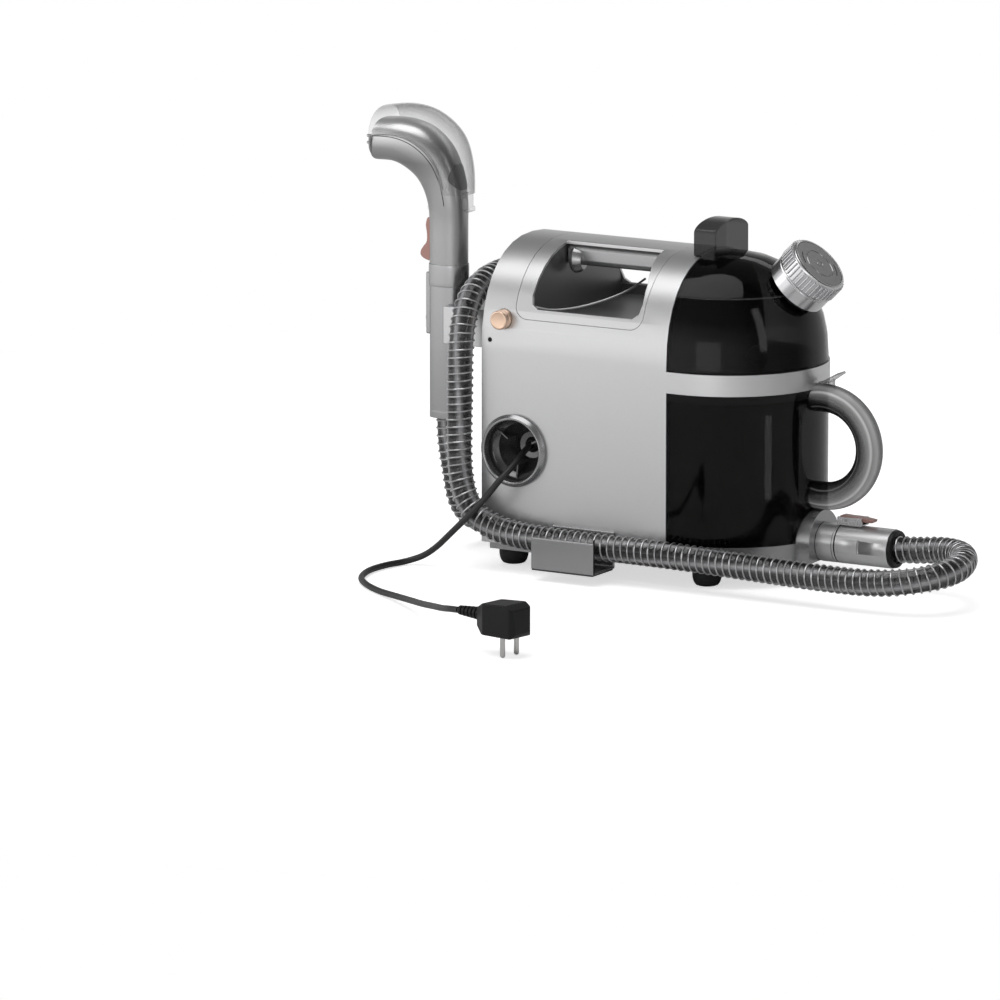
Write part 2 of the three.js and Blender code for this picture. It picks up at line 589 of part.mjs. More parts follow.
// The lifting block overhangs the housing's ridge, and its skirt fills its seat in the dome.
function tankGrip() {
  const half = GRIP_HALF_Y;
  const shape = new THREE.Shape();
  shape.moveTo(-half, GRIP_LOW_Z);
  shape.lineTo(half, GRIP_LOW_Z);
  shape.lineTo(half, GRIP_SHOULDER_Z);
  shape.bezierCurveTo(half * 0.7, GRIP_TOP_Z + 1, -half * 0.7, GRIP_TOP_Z + 1, -half, GRIP_SHOULDER_Z);
  const block = extrudeX(shape, GRIP_LEFT_X, GRIP_LEFT_X + GRIP_LENGTH_X, 14);
  const ridge = archBlock(-GAP, GRIP_LEFT_X - 1, VESSEL_X, 0);
  return cut(block, ridge);
}
const fillerNeck = () =>
  cut(
    tiltToNeck(pipe(NECK_RADIUS, NECK_RADIUS - 3, -6, NECK_LENGTH, 24)),
    box(-20, NECK_CENTRE.x - 26, -60, 60, 200, 300),
  );
const VALVE_X = 30;
const tankValve = () =>
  turned([
    [0, LINE_Z - 3], [5, LINE_Z - 3], [5, TANK_LOW_Z + TANK_WALL + GAP], [10, TANK_LOW_Z + TANK_WALL + GAP],
    [10, TANK_LOW_Z + 6], [4, TANK_LOW_Z + 14], [0, TANK_LOW_Z + 14],
  ], 16).translate(VALVE_X, 0, 0);

// The cap screws over the neck; its lower band is plain and its upper band is knurled.
const CAP_LOW = 8; // along the neck's axis
function fillerCap() {
  const top = CAP_LOW + CAP_HEIGHT;
  const band = CAP_LOW + 9;
  const cup = turned([
    [NECK_RADIUS + 1, CAP_LOW], [CAP_RADIUS - 3, CAP_LOW], [CAP_RADIUS - 2, band], [CAP_RADIUS, band], [CAP_RADIUS, top - 2],
    [CAP_RADIUS - 2, top], [18, top], [17, top - 1], [16, top - 1], [15, top], [0, top],
    [0, top - 5], [NECK_RADIUS + 1, top - 5], [NECK_RADIUS + 1, CAP_LOW],
  ], 28);
  return tiltToNeck(cup);
}
const capSeal = () =>
  tiltToNeck(pipe(NECK_RADIUS, NECK_RADIUS - 4, NECK_LENGTH + GAP, CAP_LOW + CAP_HEIGHT - 5 - GAP, 24));

// ---------------------------------------------------------------- dirty-water jug
const JUG_INSET = 1.2;
const JUG_WALL = 2.5;
const JUG_LID_Z = 176;
const GROOVE_RADIUS = RAIL_RADIUS + 2 * GAP;
const FLOAT = { x: 22, y: -34, radius: 12, low: 112 };
const STANDPIPE = { x: 66, y: -8, radius: 13 };

function jugShell() {
  const outer = footprintBlock(JUG_INSET, VESSEL_X, JUG_FLOOR_Z, JUG_LID_Z - GAP);
  const hollow = cut(
    footprintBlock(JUG_INSET + JUG_WALL, VESSEL_X + JUG_WALL, JUG_FLOOR_Z + JUG_WALL, JUG_LID_Z + 5),
    extrudeX(railOutline(GROOVE_RADIUS + JUG_WALL, 0), -60, HALF_DEPTH + 24),
  );
  const air = lieAlongX(rod(12, -20, 0, 16)).translate(0, DUCT_Y, DUCT_Z);
  return cut(outer, hollow, extrudeX(railOutline(GROOVE_RADIUS, 0), -60, HALF_DEPTH + 24), air);
}
// The lid carries the block that leads the air out, and the cage that the float rides in.
function jugLid() {
  const plate = footprintBlock(JUG_INSET, VESSEL_X, JUG_LID_Z, BAND_LOW_Z - GAP);
  const inset = JUG_INSET + JUG_WALL + GAP;
  const block = box(VESSEL_X + JUG_WALL + GAP, 46, 6, 56, 152, JUG_LID_Z + 1);
  const blockHollow = box(VESSEL_X + JUG_WALL + GAP + 2, 44, 8, 54, 154, JUG_LID_Z + 2);
  const plug = cut(
    footprintBlock(inset, VESSEL_X + JUG_WALL + GAP, JUG_LID_Z - 5, JUG_LID_Z + 1),
    footprintBlock(inset + 2.5, VESSEL_X + JUG_WALL + GAP + 2.5, JUG_LID_Z - 6, JUG_LID_Z),
  );
  const cage = pipe(FLOAT.radius + 3, FLOAT.radius + 1, FLOAT.low - 3, JUG_LID_Z + 1, 20).translate(FLOAT.x, FLOAT.y, 0);
  const cageFloor = pipe(FLOAT.radius + 2, FLOAT.radius - 5, FLOAT.low - 3, FLOAT.low - GAP, 20).translate(FLOAT.x, FLOAT.y, 0);
  const slots = box(FLOAT.x - 20, FLOAT.x + 20, FLOAT.y - 4, FLOAT.y + 4, FLOAT.low + 4, 150);
  const air = box(10, 34, 14, 46, 150, 156);
  return cut(join(plate, plug, block, cage, cageFloor), blockHollow, slots, air);
}
const jugFloat = () => rod(FLOAT.radius, FLOAT.low, FLOAT.low + 26, 20).translate(FLOAT.x, FLOAT.y, 0);
function jugStandpipe() {
  const { x, y, radius } = STANDPIPE;
  const low = INLET_Z + GROOVE_RADIUS + JUG_WALL + GAP;
  return pipe(radius, radius - 2, low, JUG_LID_Z - 14, 20).translate(x, y, 0);
}
const LEVER = { x: HANDLE_CENTRE_X + 6, z: 186, slotHalf: 3.4 };
function jugHandle() {
  const side = new THREE.Shape();
  const top = HANDLE_CENTRE_Z + HANDLE_OUTER;
  const root = HALF_DEPTH - JUG_INSET + GAP;
  const reach = root - HANDLE_CENTRE_X;
  side.moveTo(-reach, HANDLE_OUTER);
  side.lineTo(0, HANDLE_OUTER);
  side.absarc(0, 0, HANDLE_OUTER, Math.PI / 2, 1.5 * Math.PI);
  side.lineTo(-reach, -HANDLE_OUTER);
  side.lineTo(-reach, -HANDLE_INNER);
  side.lineTo(0, -HANDLE_INNER);
  side.absarc(0, 0, HANDLE_INNER, 1.5 * Math.PI, Math.PI / 2, true);
  side.lineTo(-reach, HANDLE_INNER);
  const arc = extrudeY(side, -HANDLE_HALF_WIDTH, HANDLE_HALF_WIDTH, 18)
    .translate(HANDLE_CENTRE_X, 0, HANDLE_CENTRE_Z);
  const disc = (radius, low, high) => turned([[0, low], [radius, low], [radius, high], [0, high]], 2 * ROUND_STEPS);
  const wall = disc(root, 30, top + 9);
  const band = disc(HALF_DEPTH + GAP, BAND_LOW_Z - 1, BAND_HIGH_Z);
  const slot = box(LEVER.x - 4, LEVER.x + 4, -LEVER.slotHalf, LEVER.slotHalf, LEVER.z - 4, top + 5);
  return cut(arc, wall, band, slot);
}
// A thumb plate on a stem; the stem turns in the slot of the handle.
function jugLever() {
  const rise = HANDLE_CENTRE_Z + HANDLE_OUTER;
  const plate = sideOutline([
    [LEVER.x - 9, rise + 0.8], [LEVER.x - 2, rise + 2], [LEVER.x + 11, rise + 11],
    [LEVER.x + 10, rise + 13], [LEVER.x - 4, rise + 5], [LEVER.x - 10, rise + 3],
  ]);
  const stem = box(LEVER.x - 2.4, LEVER.x + 2.4, -LEVER.slotHalf + 0.6, LEVER.slotHalf - 0.6, LEVER.z - 3, rise + 5);
  return join(extrudeY(plate, -8, 8), stem);
}

// ---------------------------------------------------------------- hose coupling
// Drawn about its own axis, from x = 0 at the inlet pipe's end.
const PADDLE = { pivotX: 10, pivotZ: INLET_RADIUS + 5, halfY: 5 };
const hoseCoupling = () =>
  cut(
    lieAlongX(pipe(INLET_RADIUS, COUPLING_BORE, GAP, COUPLING_LENGTH - 4, 24)),
    box(27, 29.5, -30, -INLET_RADIUS + 1.5, -5, 9),
  );
const couplingRing = () =>
  lieAlongX(pipe(INLET_RADIUS - 0.5, COUPLING_BORE, COUPLING_LENGTH - 4 + GAP, COUPLING_LENGTH, 24));
// Two cheeks on a foot hold the release paddle's pin.
function paddleBracket() {
  const low = INLET_RADIUS + GAP;
  const high = INLET_RADIUS + 8;
  const block = box(1, 27, -PADDLE.halfY - 3, PADDLE.halfY + 3, low, high);
  const channel = box(0, 28, -PADDLE.halfY - GAP, PADDLE.halfY + GAP, low + 1.5, high + 1);
  const pinHole = lieAlongY(rod(1.2 + GAP, -20, 20, 12)).translate(PADDLE.pivotX, 0, PADDLE.pivotZ);
  return cut(block, channel, pinHole);
}
const releasePaddle = () =>
  cut(
    extrudeY(
      sideOutline([
        [2, INLET_RADIUS + 2.4], [12, INLET_RADIUS + 2.4], [26, INLET_RADIUS + 4.2], [37, INLET_RADIUS + 4.2],
        [38, INLET_RADIUS + 7], [30, INLET_RADIUS + 8], [4, INLET_RADIUS + 9.2], [2, INLET_RADIUS + 8.4],
      ]),
      -PADDLE.halfY,
      PADDLE.halfY,
    ),
    lieAlongY(rod(1.2 + GAP, -20, 20, 12)).translate(PADDLE.pivotX, 0, PADDLE.pivotZ),
  );
const paddlePin = () =>
  lieAlongY(rod(1.2, -PADDLE.halfY - 2.8, PADDLE.halfY + 2.8, 12)).translate(PADDLE.pivotX, 0, PADDLE.pivotZ);

// ---------------------------------------------------------------- spray wand
// Drawn about the upright axis of its grip. A section is [x, z, heading, half height, half width]:
// its centre, the direction of travel in degrees in the (x, z) plane, and its half sizes.
const WAND_SECTIONS = [
  [0, 318, 90, WAND_HALF_X, WAND_HALF_Y],
  [-1, 338, 95, 19, 16.5],
  [-6, 358, 110, 20.5, 18],
  [-15, 375, 128, 22.5, 20.5],
  [-31, 388, 148, 23, 23],
  [-50, 394, 164, 21.5, 25],
  [-72, 394, 174, 20.5, 26],
];
const COVER_SECTIONS = [
  [3.5, 345, 96, 21, 18.5],
  [-1, 368, 112, 25, 20.5],
  [-11, 386, 129, 28.5, 23],
  [-29, 398, 149, 29, 25.5],
  [-49, 402, 165, 27.5, 27.5],
  [-68, 400, 174, 25.5, 28.3],
];
const SECTION_SIDES = 18;
const SECTION_POWER = 2.5;

// A closed solid through oval sections, each grown by grow.
function loft(sections, grow = 0) {
  const positions = [];
  for (const [x, z, heading, halfHigh, halfWide] of sections) {
    const turn = THREE.MathUtils.degToRad(heading);
    for (let i = 0; i < SECTION_SIDES; i++) {
      const angle = (2 * Math.PI * i) / SECTION_SIDES;
      const share = 2 / SECTION_POWER;
      const c = Math.cos(angle);
      const s = Math.sin(angle);
      const across = (halfWide + grow) * Math.sign(c) * Math.abs(c) ** share;
      const up = (halfHigh + grow) * Math.sign(s) * Math.abs(s) ** share;
      positions.push(x - Math.sin(turn) * up, across, z + Math.cos(turn) * up);
    }
  }
  const index = [];
  const rings = sections.length;
  for (let ring = 0; ring < rings - 1; ring++) {
    for (let i = 0; i < SECTION_SIDES; i++) {
      const next = (i + 1) % SECTION_SIDES;
      const a = ring * SECTION_SIDES + i;
      const b = ring * SECTION_SIDES + next;
      index.push(a, b, b + SECTION_SIDES, a, b + SECTION_SIDES, a + SECTION_SIDES);
    }
  }
  const last = (rings - 1) * SECTION_SIDES;
  for (let i = 1; i < SECTION_SIDES - 1; i++) {
    index.push(0, i + 1, i, last, last + i, last + i + 1);
  }
  const geometry = new THREE.BufferGeometry();
  geometry.setAttribute("position", new THREE.BufferAttribute(new Float32Array(positions), 3));
  geometry.setIndex(index);
  return geometry;
}

const TRIGGER = { pivotX: -WAND_HALF_X + 2, pivotZ: 320, low: 280 };
const LOCK_Z = 225;
const GRIP_JOINT_Z = 271; // seam between the wand's lower grip and its head
const HOSE_SOCKET_RADIUS = HOSE_DIAMETER / 2 + 0.6;

function wandGrip() {
  const stem = loft([
    [0, WAND_BOTTOM_Z, 90, WAND_HALF_X - 1, WAND_HALF_Y - 1],
    [0, WAND_BOTTOM_Z + 3, 90, WAND_HALF_X, WAND_HALF_Y],
    [0, GRIP_JOINT_Z - GAP, 90, WAND_HALF_X, WAND_HALF_Y],
  ]);
  const socket = rod(HOSE_SOCKET_RADIUS, WAND_BOTTOM_Z - 1, WAND_BOTTOM_Z + 40);
  const well = lieAlongX(rod(7 + GAP, -30, -WAND_HALF_X + 8, 16)).translate(0, 0, LOCK_Z);
  return cut(stem, socket, well);
}
function wandHead() {
  const body = loft([[0, GRIP_JOINT_Z, 90, WAND_HALF_X, WAND_HALF_Y], ...WAND_SECTIONS]);
  const slot = box(-40, -WAND_HALF_X + 9, -6 - GAP, 6 + GAP, TRIGGER.low - 2, TRIGGER.pivotZ + 6);
  const mouth = box(-90, -60, -20, 20, 386, 402);
  const latchSeat = box(WAND_HALF_X - 1.2, 40, -8, 8, 330, 350);
  return cut(body, slot, mouth, latchSeat);
}
// Clear shell over the outside of the bend; the dirty water runs between it and the head.
function nozzleCover() {
  const outer = loft(COVER_SECTIONS);
  const past = COVER_SECTIONS.map((row) => [...row]);
  past.push([-90, 398, 178, 24, 28.3]);
  const head = loft([[0, GRIP_JOINT_Z, 90, WAND_HALF_X, WAND_HALF_Y], ...WAND_SECTIONS, [-92, 394, 178, 20.5, 26]], GAP);
  const hollow = cut(loft(past, -2), box(-10, 40, -40, 40, 300, 352));
  const below = box(-120, -20, -60, 60, 300, 390);
  return cut(outer, hollow, head, below, box(-60, 40, -60, 60, 300, 349));
}
const coverLatch = () =>
  join(
    box(WAND_HALF_X - 1.2 + GAP, WAND_HALF_X + 5, -7, 7, 332, 348.6),
    box(WAND_HALF_X + 1.5, WAND_HALF_X + 7, -7, 7, 330, 335),
  );
const sprayJet = () =>
  join(box(-80, -61, -7, 7, 391, 397), lieAlongX(rod(2, -86, -78, 12)).translate(0, 0, 394));
const triggerPin = () => lieAlongY(rod(1.5, -5.8, 5.8, 12)).translate(TRIGGER.pivotX, 0, TRIGGER.pivotZ);
function wandTrigger() {
  const x = TRIGGER.pivotX;
  const shape = sideOutline([
    [x - 4, TRIGGER.pivotZ + 3], [x + 3, TRIGGER.pivotZ + 3], [x + 3, TRIGGER.low + 2], [x - 2, TRIGGER.low],
    [x - 9, TRIGGER.low + 4], [x - 12, TRIGGER.low + 12], [x - 8, TRIGGER.low + 22], [x - 6, TRIGGER.low + 32],
  ]);
  const bore = lieAlongY(rod(1.5 + GAP, -20, 20, 12)).translate(x, 0, TRIGGER.pivotZ);
  return cut(extrudeY(shape, -6, 6), bore);
}
const wandButton = () =>
  lieAlongX(turned([[0, -WAND_HALF_X - 5], [5, -WAND_HALF_X - 4], [7, -WAND_HALF_X - 1], [7, -WAND_HALF_X + 4], [0, -WAND_HALF_X + 4]], 16))
    .translate(0, 0, LOCK_Z);

// ---------------------------------------------------------------- free cord and hose

// From inside the coupling, round to the front, through the clip, up the left end, over the hook,
// down behind, round near the floor and up into the wand.
const HOSE_ROUTE = points([
  [184.4, 0, 38.5], [205, 0, 40], [230, -1, 42.5], [254, -12, 43.5], [272, -36, 43], [278, -64, 40],
  [268, -90, 36], [244, -106, 32], [210, -111, 29], [170, -111, 28.5], [120, -111, 29.5], [70, -111, 31],
  [20, -111, 32.5], [-40, -112, 33.5], [-102, -113.5, 34], [-150, -113, 35.5], [-184, -112, 39.5], [-208, -112, 49],
  [-222, -112, 66], [-229, -111, 90], [-231.5, -109, 120], [-232, -107, 160], [-232.5, -105, 200],
  [-233, -100, 228], [-234, -86, 251], [-235, -58, 265], [-235, -20, 270], [-235, 20, 268],
  [-235.5, 56, 258], [-236, 80, 234], [-237, 89, 200], [-239, 91, 155], [-243, 88, 108], [-249, 78, 66],
  [-258, 56, 36], [-267, 22, 23], [-271, -14, 27], [-273, -37, 48], [-275.5, -45, 80], [-277.6, -49.4, 110], [WAND_X, WAND_Y, WAND_BOTTOM_Z],
  [WAND_X, WAND_Y, WAND_BOTTOM_Z + 36],
]);
// From the eyelet in the port, out over its lip, down to the floor, round, and up into the plug.
const CORD_ROUTE = points([
  [PORT_X, -HALF_DEPTH + PORT_DEPTH - 4.5, PORT_Z], [-177, -79, 110.8], [-175.5, -92, 106.2], [-177.5, -106, 97.6],
  [-182, -118, 88], [-191.5, -127, 72.7], [-204, -132, 57.5], [-223, -134, 38.5], [-246, -130, 18.5],
  [-262, -128, 8.5], [-275, -135, 3.6], [-282.5, -158, 3.2], [-283.5, -188, 3.2], [-272, -222, 3.2],
  [-251, -247, 3.2], [-226, -266, 3.2], [-193, -290, 6], [-162, -316, 10], [-129, -349, 16], [-97, -382, 23],
  [-70, -410, 29], [-53, -425, 32.8], [-38.8, -432.5, 34.6],
]);
const PLUG_CENTRE = new THREE.Vector3(12, -442, 0);
const PIN_RADIUS = 2.4;
const PIN_SPACING = 19;

const suctionHose = () => tube(new THREE.CatmullRomCurve3(HOSE_ROUTE), HOSE_DIAMETER / 2, 54, HOSE_SIDES);
const mainsCord = () => tube(new THREE.CatmullRomCurve3(CORD_ROUTE), CORD_DIAMETER / 2, 46, CORD_SIDES);

// The plug stands on its two pins; its face is a faceted block with a ribbed relief behind.
const PLUG = { length: 50, halfWide: 15, low: 19, high: 50, reliefZ: 35, heading: -11 };
function plugFrame() {
  const frame = new THREE.Group();
  frame.position.copy(PLUG_CENTRE);
  frame.rotation.z = THREE.MathUtils.degToRad(PLUG.heading);
  cordPieces.add(frame);
  return frame;
}
function plugBody() {
  const { length, halfWide, low, high } = PLUG;
  const half = length / 2;
  const shape = sideOutline([
    [-half, low + 6], [-half + 10, low], [half - 3, low], [half, low + 4], [half - 2, high - 5],
    [half - 9, high], [-half + 12, high - 2], [-half, high - 8],
  ]);
  const taper = extrudeZ(
    outline([[-half, -7], [-half + 14, -halfWide], [half - 4, -halfWide], [half, -halfWide + 5], [half, halfWide - 5], [half - 4, halfWide], [-half + 14, halfWide], [-half, 7]]),
    low - 1,
    high + 1,
  );
  return common(extrudeY(shape, -halfWide, halfWide), taper);
}
const plugPin = () => turned([[0, 0], [1.6, 0], [PIN_RADIUS, 1.5], [PIN_RADIUS, PLUG.low - GAP], [0, PLUG.low - GAP]], 16);
const plugRelief = () =>
  lieAlongX(pipe(5.5, CORD_DIAMETER / 2 + GAP, -26, 0, 16)).translate(-PLUG.length / 2 - GAP, 0, PLUG.reliefZ);

// ---------------------------------------------------------------- the whole machine
const machine = new THREE.Group();
assembly.add(machine);
add(machine, "main_housing", mainHousing(), SILVER);
add(machine, "handle_surround", handleSurround(), SILVER);
add(machine, "carry_grip", carryGrip(), SATIN);
add(machine, "handle_tub", handleTub(), GRAPHITE);
add(machine, "base_tray", baseTray(), SILVER);
add(machine, "end_cover", endCover(), SATIN);
add(machine, "bulkhead", bulkhead(), BLACK);
for (const [i, x] of FOOT_X.entries()) {
  const end = i === 0 ? "left" : "right";
  add(machine, `foot_front_${end}`, foot(x, -FOOT_Y), RUBBER);
  add(machine, `foot_back_${end}`, foot(x, FOOT_Y), RUBBER);
}
add(machine, "port_ring", portRing(), SATIN);
add(machine, "port_cup", portCup(), BLACK);
add(machine, "cord_eyelet", cordEyelet(), BLACK);
add(machine, "indicator_lens", indicatorLens(), BLACK);
add(machine, "hose_clip", hoseClip(), SILVER);
add(machine, "dock_bracket", dockBracket(), SATIN);
add(machine, "hose_hook", hoseHook(), GRAPHITE);
add(machine, "inlet_pipe", inletPipe(), SATIN);
add(machine, "motor_housing", motorHousing(), BLACK);
add(machine, "suction_duct", suctionDuct(), BLACK);
add(machine, "water_pump", waterPump(), BLACK);
add(machine, "water_line", waterLine(), CLEAR);
add(machine, "circuit_board", circuitBoard(), BOARD);
add(machine, "suction_fan", suctionFan(), STEEL);
add(machine, "reel_drum", reelDrum(), BLACK);
add(machine, "cord_winding", cordWinding(), RUBBER);
add(machine, "power_button", powerButton(), ROSE);

const cleanTank = new THREE.Group();
assembly.add(cleanTank);
add(cleanTank, "tank_base", tankBase(), SMOKE);
add(cleanTank, "tank_top", tankTop(), SMOKE);
add(cleanTank, "tank_grip", tankGrip(), SMOKE);
add(cleanTank, "filler_neck", fillerNeck(), BLACK);
add(cleanTank, "tank_valve", tankValve(), BLACK);
add(cleanTank, "filler_cap", fillerCap(), SILVER);
add(cleanTank, "cap_seal", capSeal(), RUBBER);

const dirtyJug = new THREE.Group();
assembly.add(dirtyJug);
add(dirtyJug, "jug_shell", jugShell(), SMOKE);
add(dirtyJug, "jug_lid", jugLid(), SMOKE);
add(dirtyJug, "jug_handle", jugHandle(), CLEAR);
add(dirtyJug, "jug_standpipe", jugStandpipe(), SMOKE);
add(dirtyJug, "jug_float", jugFloat(), BLACK);
add(dirtyJug, "jug_lever", jugLever(), CLEAR);

const coupling = new THREE.Group();
coupling.position.set(INLET_END_X, 0, INLET_Z);
assembly.add(coupling);
add(coupling, "hose_coupling", hoseCoupling(), SATIN);
add(coupling, "coupling_ring", couplingRing(), BLACK);
add(coupling, "paddle_bracket", paddleBracket(), SILVER);
add(coupling, "release_paddle", releasePaddle(), ROSE);
add(coupling, "paddle_pin", paddlePin(), STEEL);

const wand = new THREE.Group();
wand.position.set(WAND_X, WAND_Y, 0);
assembly.add(wand);
add(wand, "wand_grip", wandGrip(), SATIN);
add(wand, "wand_head", wandHead(), SATIN);
add(wand, "nozzle_cover", nozzleCover(), CLEAR);
add(wand, "cover_latch", coverLatch(), CLEAR);
add(wand, "spray_jet", sprayJet(), BLACK);
add(wand, "wand_trigger", wandTrigger(), ROSE);
add(wand, "trigger_pin", triggerPin(), STEEL);
add(wand, "wand_button", wandButton(), ROSE);

add(cordPieces, "suction_hose", suctionHose(), CLEAR);
add(cordPieces, "mains_cord", mainsCord(), RUBBER);
const plug = plugFrame();
add(plug, "plug_body", plugBody(), BLACK);
add(plug, "plug_relief", plugRelief(), BLACK);
for (const [side, sign] of [["near", -1], ["far", 1]]) {
  add(plug, `plug_pin_${side}`, plugPin().translate(9, (sign * PIN_SPACING) / 2, 0), STEEL);
}

// The origin is on the floor under the middle of everything but the free cord and hose.
assembly.remove(cordPieces);
const extent = new THREE.Box3().setFromObject(assembly, true);
assembly.add(cordPieces);
const middle = extent.getCenter(new THREE.Vector3());
assembly.position.set(-middle.x, -middle.y, -extent.min.z);
const model = new THREE.Group();
model.add(assembly);

export default model;
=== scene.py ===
# %% [markdown]
# # A portable carpet cleaner
# The machine stands on a pale floor: an arched silver body, a smoked water tank over a smoked jug, a
# ribbed hose wrapped round it, a hand tool in its dock and a mains lead that ends in a plug.
# The solid frame is loaded first. Every place below is measured from it, in metres, with Z up.

# %% Load the frame
import math

import bpy
from mathutils import Matrix, Vector


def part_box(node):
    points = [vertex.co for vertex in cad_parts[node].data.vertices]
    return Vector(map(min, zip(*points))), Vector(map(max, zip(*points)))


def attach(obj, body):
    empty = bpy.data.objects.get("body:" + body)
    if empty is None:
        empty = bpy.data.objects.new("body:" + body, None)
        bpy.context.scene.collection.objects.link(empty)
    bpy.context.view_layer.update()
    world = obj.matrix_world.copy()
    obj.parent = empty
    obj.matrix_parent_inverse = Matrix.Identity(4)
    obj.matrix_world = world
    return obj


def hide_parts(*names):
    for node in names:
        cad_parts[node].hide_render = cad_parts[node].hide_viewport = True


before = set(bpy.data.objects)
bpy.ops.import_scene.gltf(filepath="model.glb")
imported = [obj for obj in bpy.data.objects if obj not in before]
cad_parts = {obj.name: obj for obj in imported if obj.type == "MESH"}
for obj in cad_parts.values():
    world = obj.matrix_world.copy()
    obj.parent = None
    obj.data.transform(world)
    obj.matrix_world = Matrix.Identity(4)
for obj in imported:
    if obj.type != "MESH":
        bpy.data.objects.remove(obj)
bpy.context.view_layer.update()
MM = 0.001
HOUSING_LOW, HOUSING_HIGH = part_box("main_housing")
RIM_TO_AXIS = 214.7 * MM
JUG_AXIS = Vector((HOUSING_LOW.x + RIM_TO_AXIS, (HOUSING_LOW.y + HOUSING_HIGH.y) / 2, 0))
print("the jug's upright axis stands at", tuple(round(v, 4) for v in JUG_AXIS))


# %% A point measured from the jug's axis in millimetres, a node's places, and a new object
def at(x, y, z):
    return JUG_AXIS + Vector((x, y, z)) * MM


def middle_of(node):
    low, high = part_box(node)
    return (low + high) / 2


def front_of(node, y=None):
    """The middle of a node's front, or the same place at another depth."""
    middle = middle_of(node)
    return Vector((middle.x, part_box(node)[0].y if y is None else y, middle.z))


def linked(name, data):
    made = bpy.data.objects.new(name, data)
    bpy.context.scene.collection.objects.link(made)
    return made


# %% [markdown]
# ## The camera
# A long lens from far away keeps upright lines upright, as in a catalogue. The camera looks from the
# front and a little to the right, from just above the height of the machine.

# %% Place the camera
CAMERA_AZIMUTH = math.radians(30.54)
CAMERA_HEIGHT = math.radians(11.14)
CAMERA_FAR = 9.2975
CAMERA_AIM = at(-251, 0, 42.34)
CAMERA_LENS = 348.05
SENSOR_WIDTH = 36
SIGHT_END = 40
camera_data = bpy.data.cameras.new("camera")
camera_data.sensor_width = SENSOR_WIDTH
camera_data.lens = CAMERA_LENS
camera_data.clip_end = SIGHT_END
camera = linked("camera", camera_data)
back = Vector((
    math.sin(CAMERA_AZIMUTH) * math.cos(CAMERA_HEIGHT),
    -math.cos(CAMERA_AZIMUTH) * math.cos(CAMERA_HEIGHT),
    math.sin(CAMERA_HEIGHT),
))
camera.location = CAMERA_AIM + back * CAMERA_FAR
camera.rotation_euler = back.to_track_quat("Z", "Y").to_euler()
bpy.context.scene.camera = camera

# %% [markdown]
# ## Selecting and finishing
# Blender's operators act on whatever is selected. Each step below clears the selection, picks one
# piece, and finishes with the piece's place in its mesh and its object at the origin. Edges that turn
# by more than the edge angle stay sharp or are rounded; all flatter ones are shaded smooth.


# %% Small helpers for operators
EDGE_ANGLE = 32
ROUND_ANGLE = 40
TUBE_ANGLE = 50
NORMAL_WEIGHT = 60


def clear():
    if bpy.context.object and bpy.context.object.mode != "OBJECT":
        bpy.ops.object.mode_set(mode="OBJECT")
    bpy.ops.object.select_all(action="DESELECT")


def pick(piece):
    clear()
    piece.select_set(True)
    bpy.context.view_layer.objects.active = piece
    return piece


def named(piece, name):
    piece.name = name
    piece.data.name = name
    return piece


def joined(pieces):
    clear()
    for piece in pieces:
        piece.select_set(True)
    bpy.context.view_layer.objects.active = pieces[0]
    bpy.ops.object.join()
    return pieces[0]


def drawn(name, vertices, edges=(), faces=()):
    mesh = bpy.data.meshes.new(name)
    mesh.from_pydata(vertices, edges, faces)
    return linked(name, mesh)


def in_edit(piece, work):
    pick(piece)
    bpy.ops.object.mode_set(mode="EDIT")
    work()
    bpy.ops.object.mode_set(mode="OBJECT")
    return piece


def applied(piece, kind, **settings):
    modifier = pick(piece).modifiers.new(kind.lower(), kind)
    for key, value in settings.items():
        setattr(modifier, key, value)
    bpy.ops.object.modifier_apply(modifier=modifier.name)
    return piece


def settled(piece):
    pick(piece)
    bpy.ops.object.transform_apply(location=True, rotation=True, scale=True)
    return piece


def smoothed(piece, degrees=EDGE_ANGLE):
    pick(piece)
    bpy.ops.object.shade_smooth_by_angle(angle=math.radians(degrees))
    return piece


def softened(piece, width, steps=2, degrees=EDGE_ANGLE):
    """Rounds every sharp edge a little, as a moulded or pressed edge is."""
    if width:
        applied(
            piece, "BEVEL", width=width, segments=steps, limit_method="ANGLE",
            angle_limit=math.radians(degrees), use_clamp_overlap=True, harden_normals=False,
        )
    smoothed(piece, degrees)
    return applied(piece, "WEIGHTED_NORMAL", keep_sharp=True, weight=NORMAL_WEIGHT)


def turned_outwards():
    bpy.ops.mesh.select_all(action="SELECT")
    bpy.ops.mesh.remove_doubles(threshold=1e-6)
    bpy.ops.mesh.normals_make_consistent(inside=False)


# %% [markdown]
# Round pieces are spun: a half outline is drawn as a chain of edges beside its axis, and the spin
# operator sweeps it once round. The result is then tipped so that its axis points the right way.


# %% Spin an outline round an axis
def spun(name, outline, centre, direction=(0, 0, 1), steps=64, edge=0.0):
    """outline is a chain of (radius, distance along the axis) in millimetres."""
    points = [(radius * MM, 0, along * MM) for radius, along in outline]
    piece = drawn(name, points, edges=[(i, i + 1) for i in range(len(points) - 1)])

    def sweep():
        bpy.ops.mesh.select_all(action="SELECT")
        bpy.ops.mesh.spin(steps=steps, angle=math.tau, center=(0, 0, 0), axis=(0, 0, 1))
        turned_outwards()

    in_edit(piece, sweep)
    piece.rotation_euler = Vector(direction).to_track_quat("Z", "Y").to_euler()
    piece.location = centre
    settled(piece)
    return softened(piece, edge * MM)


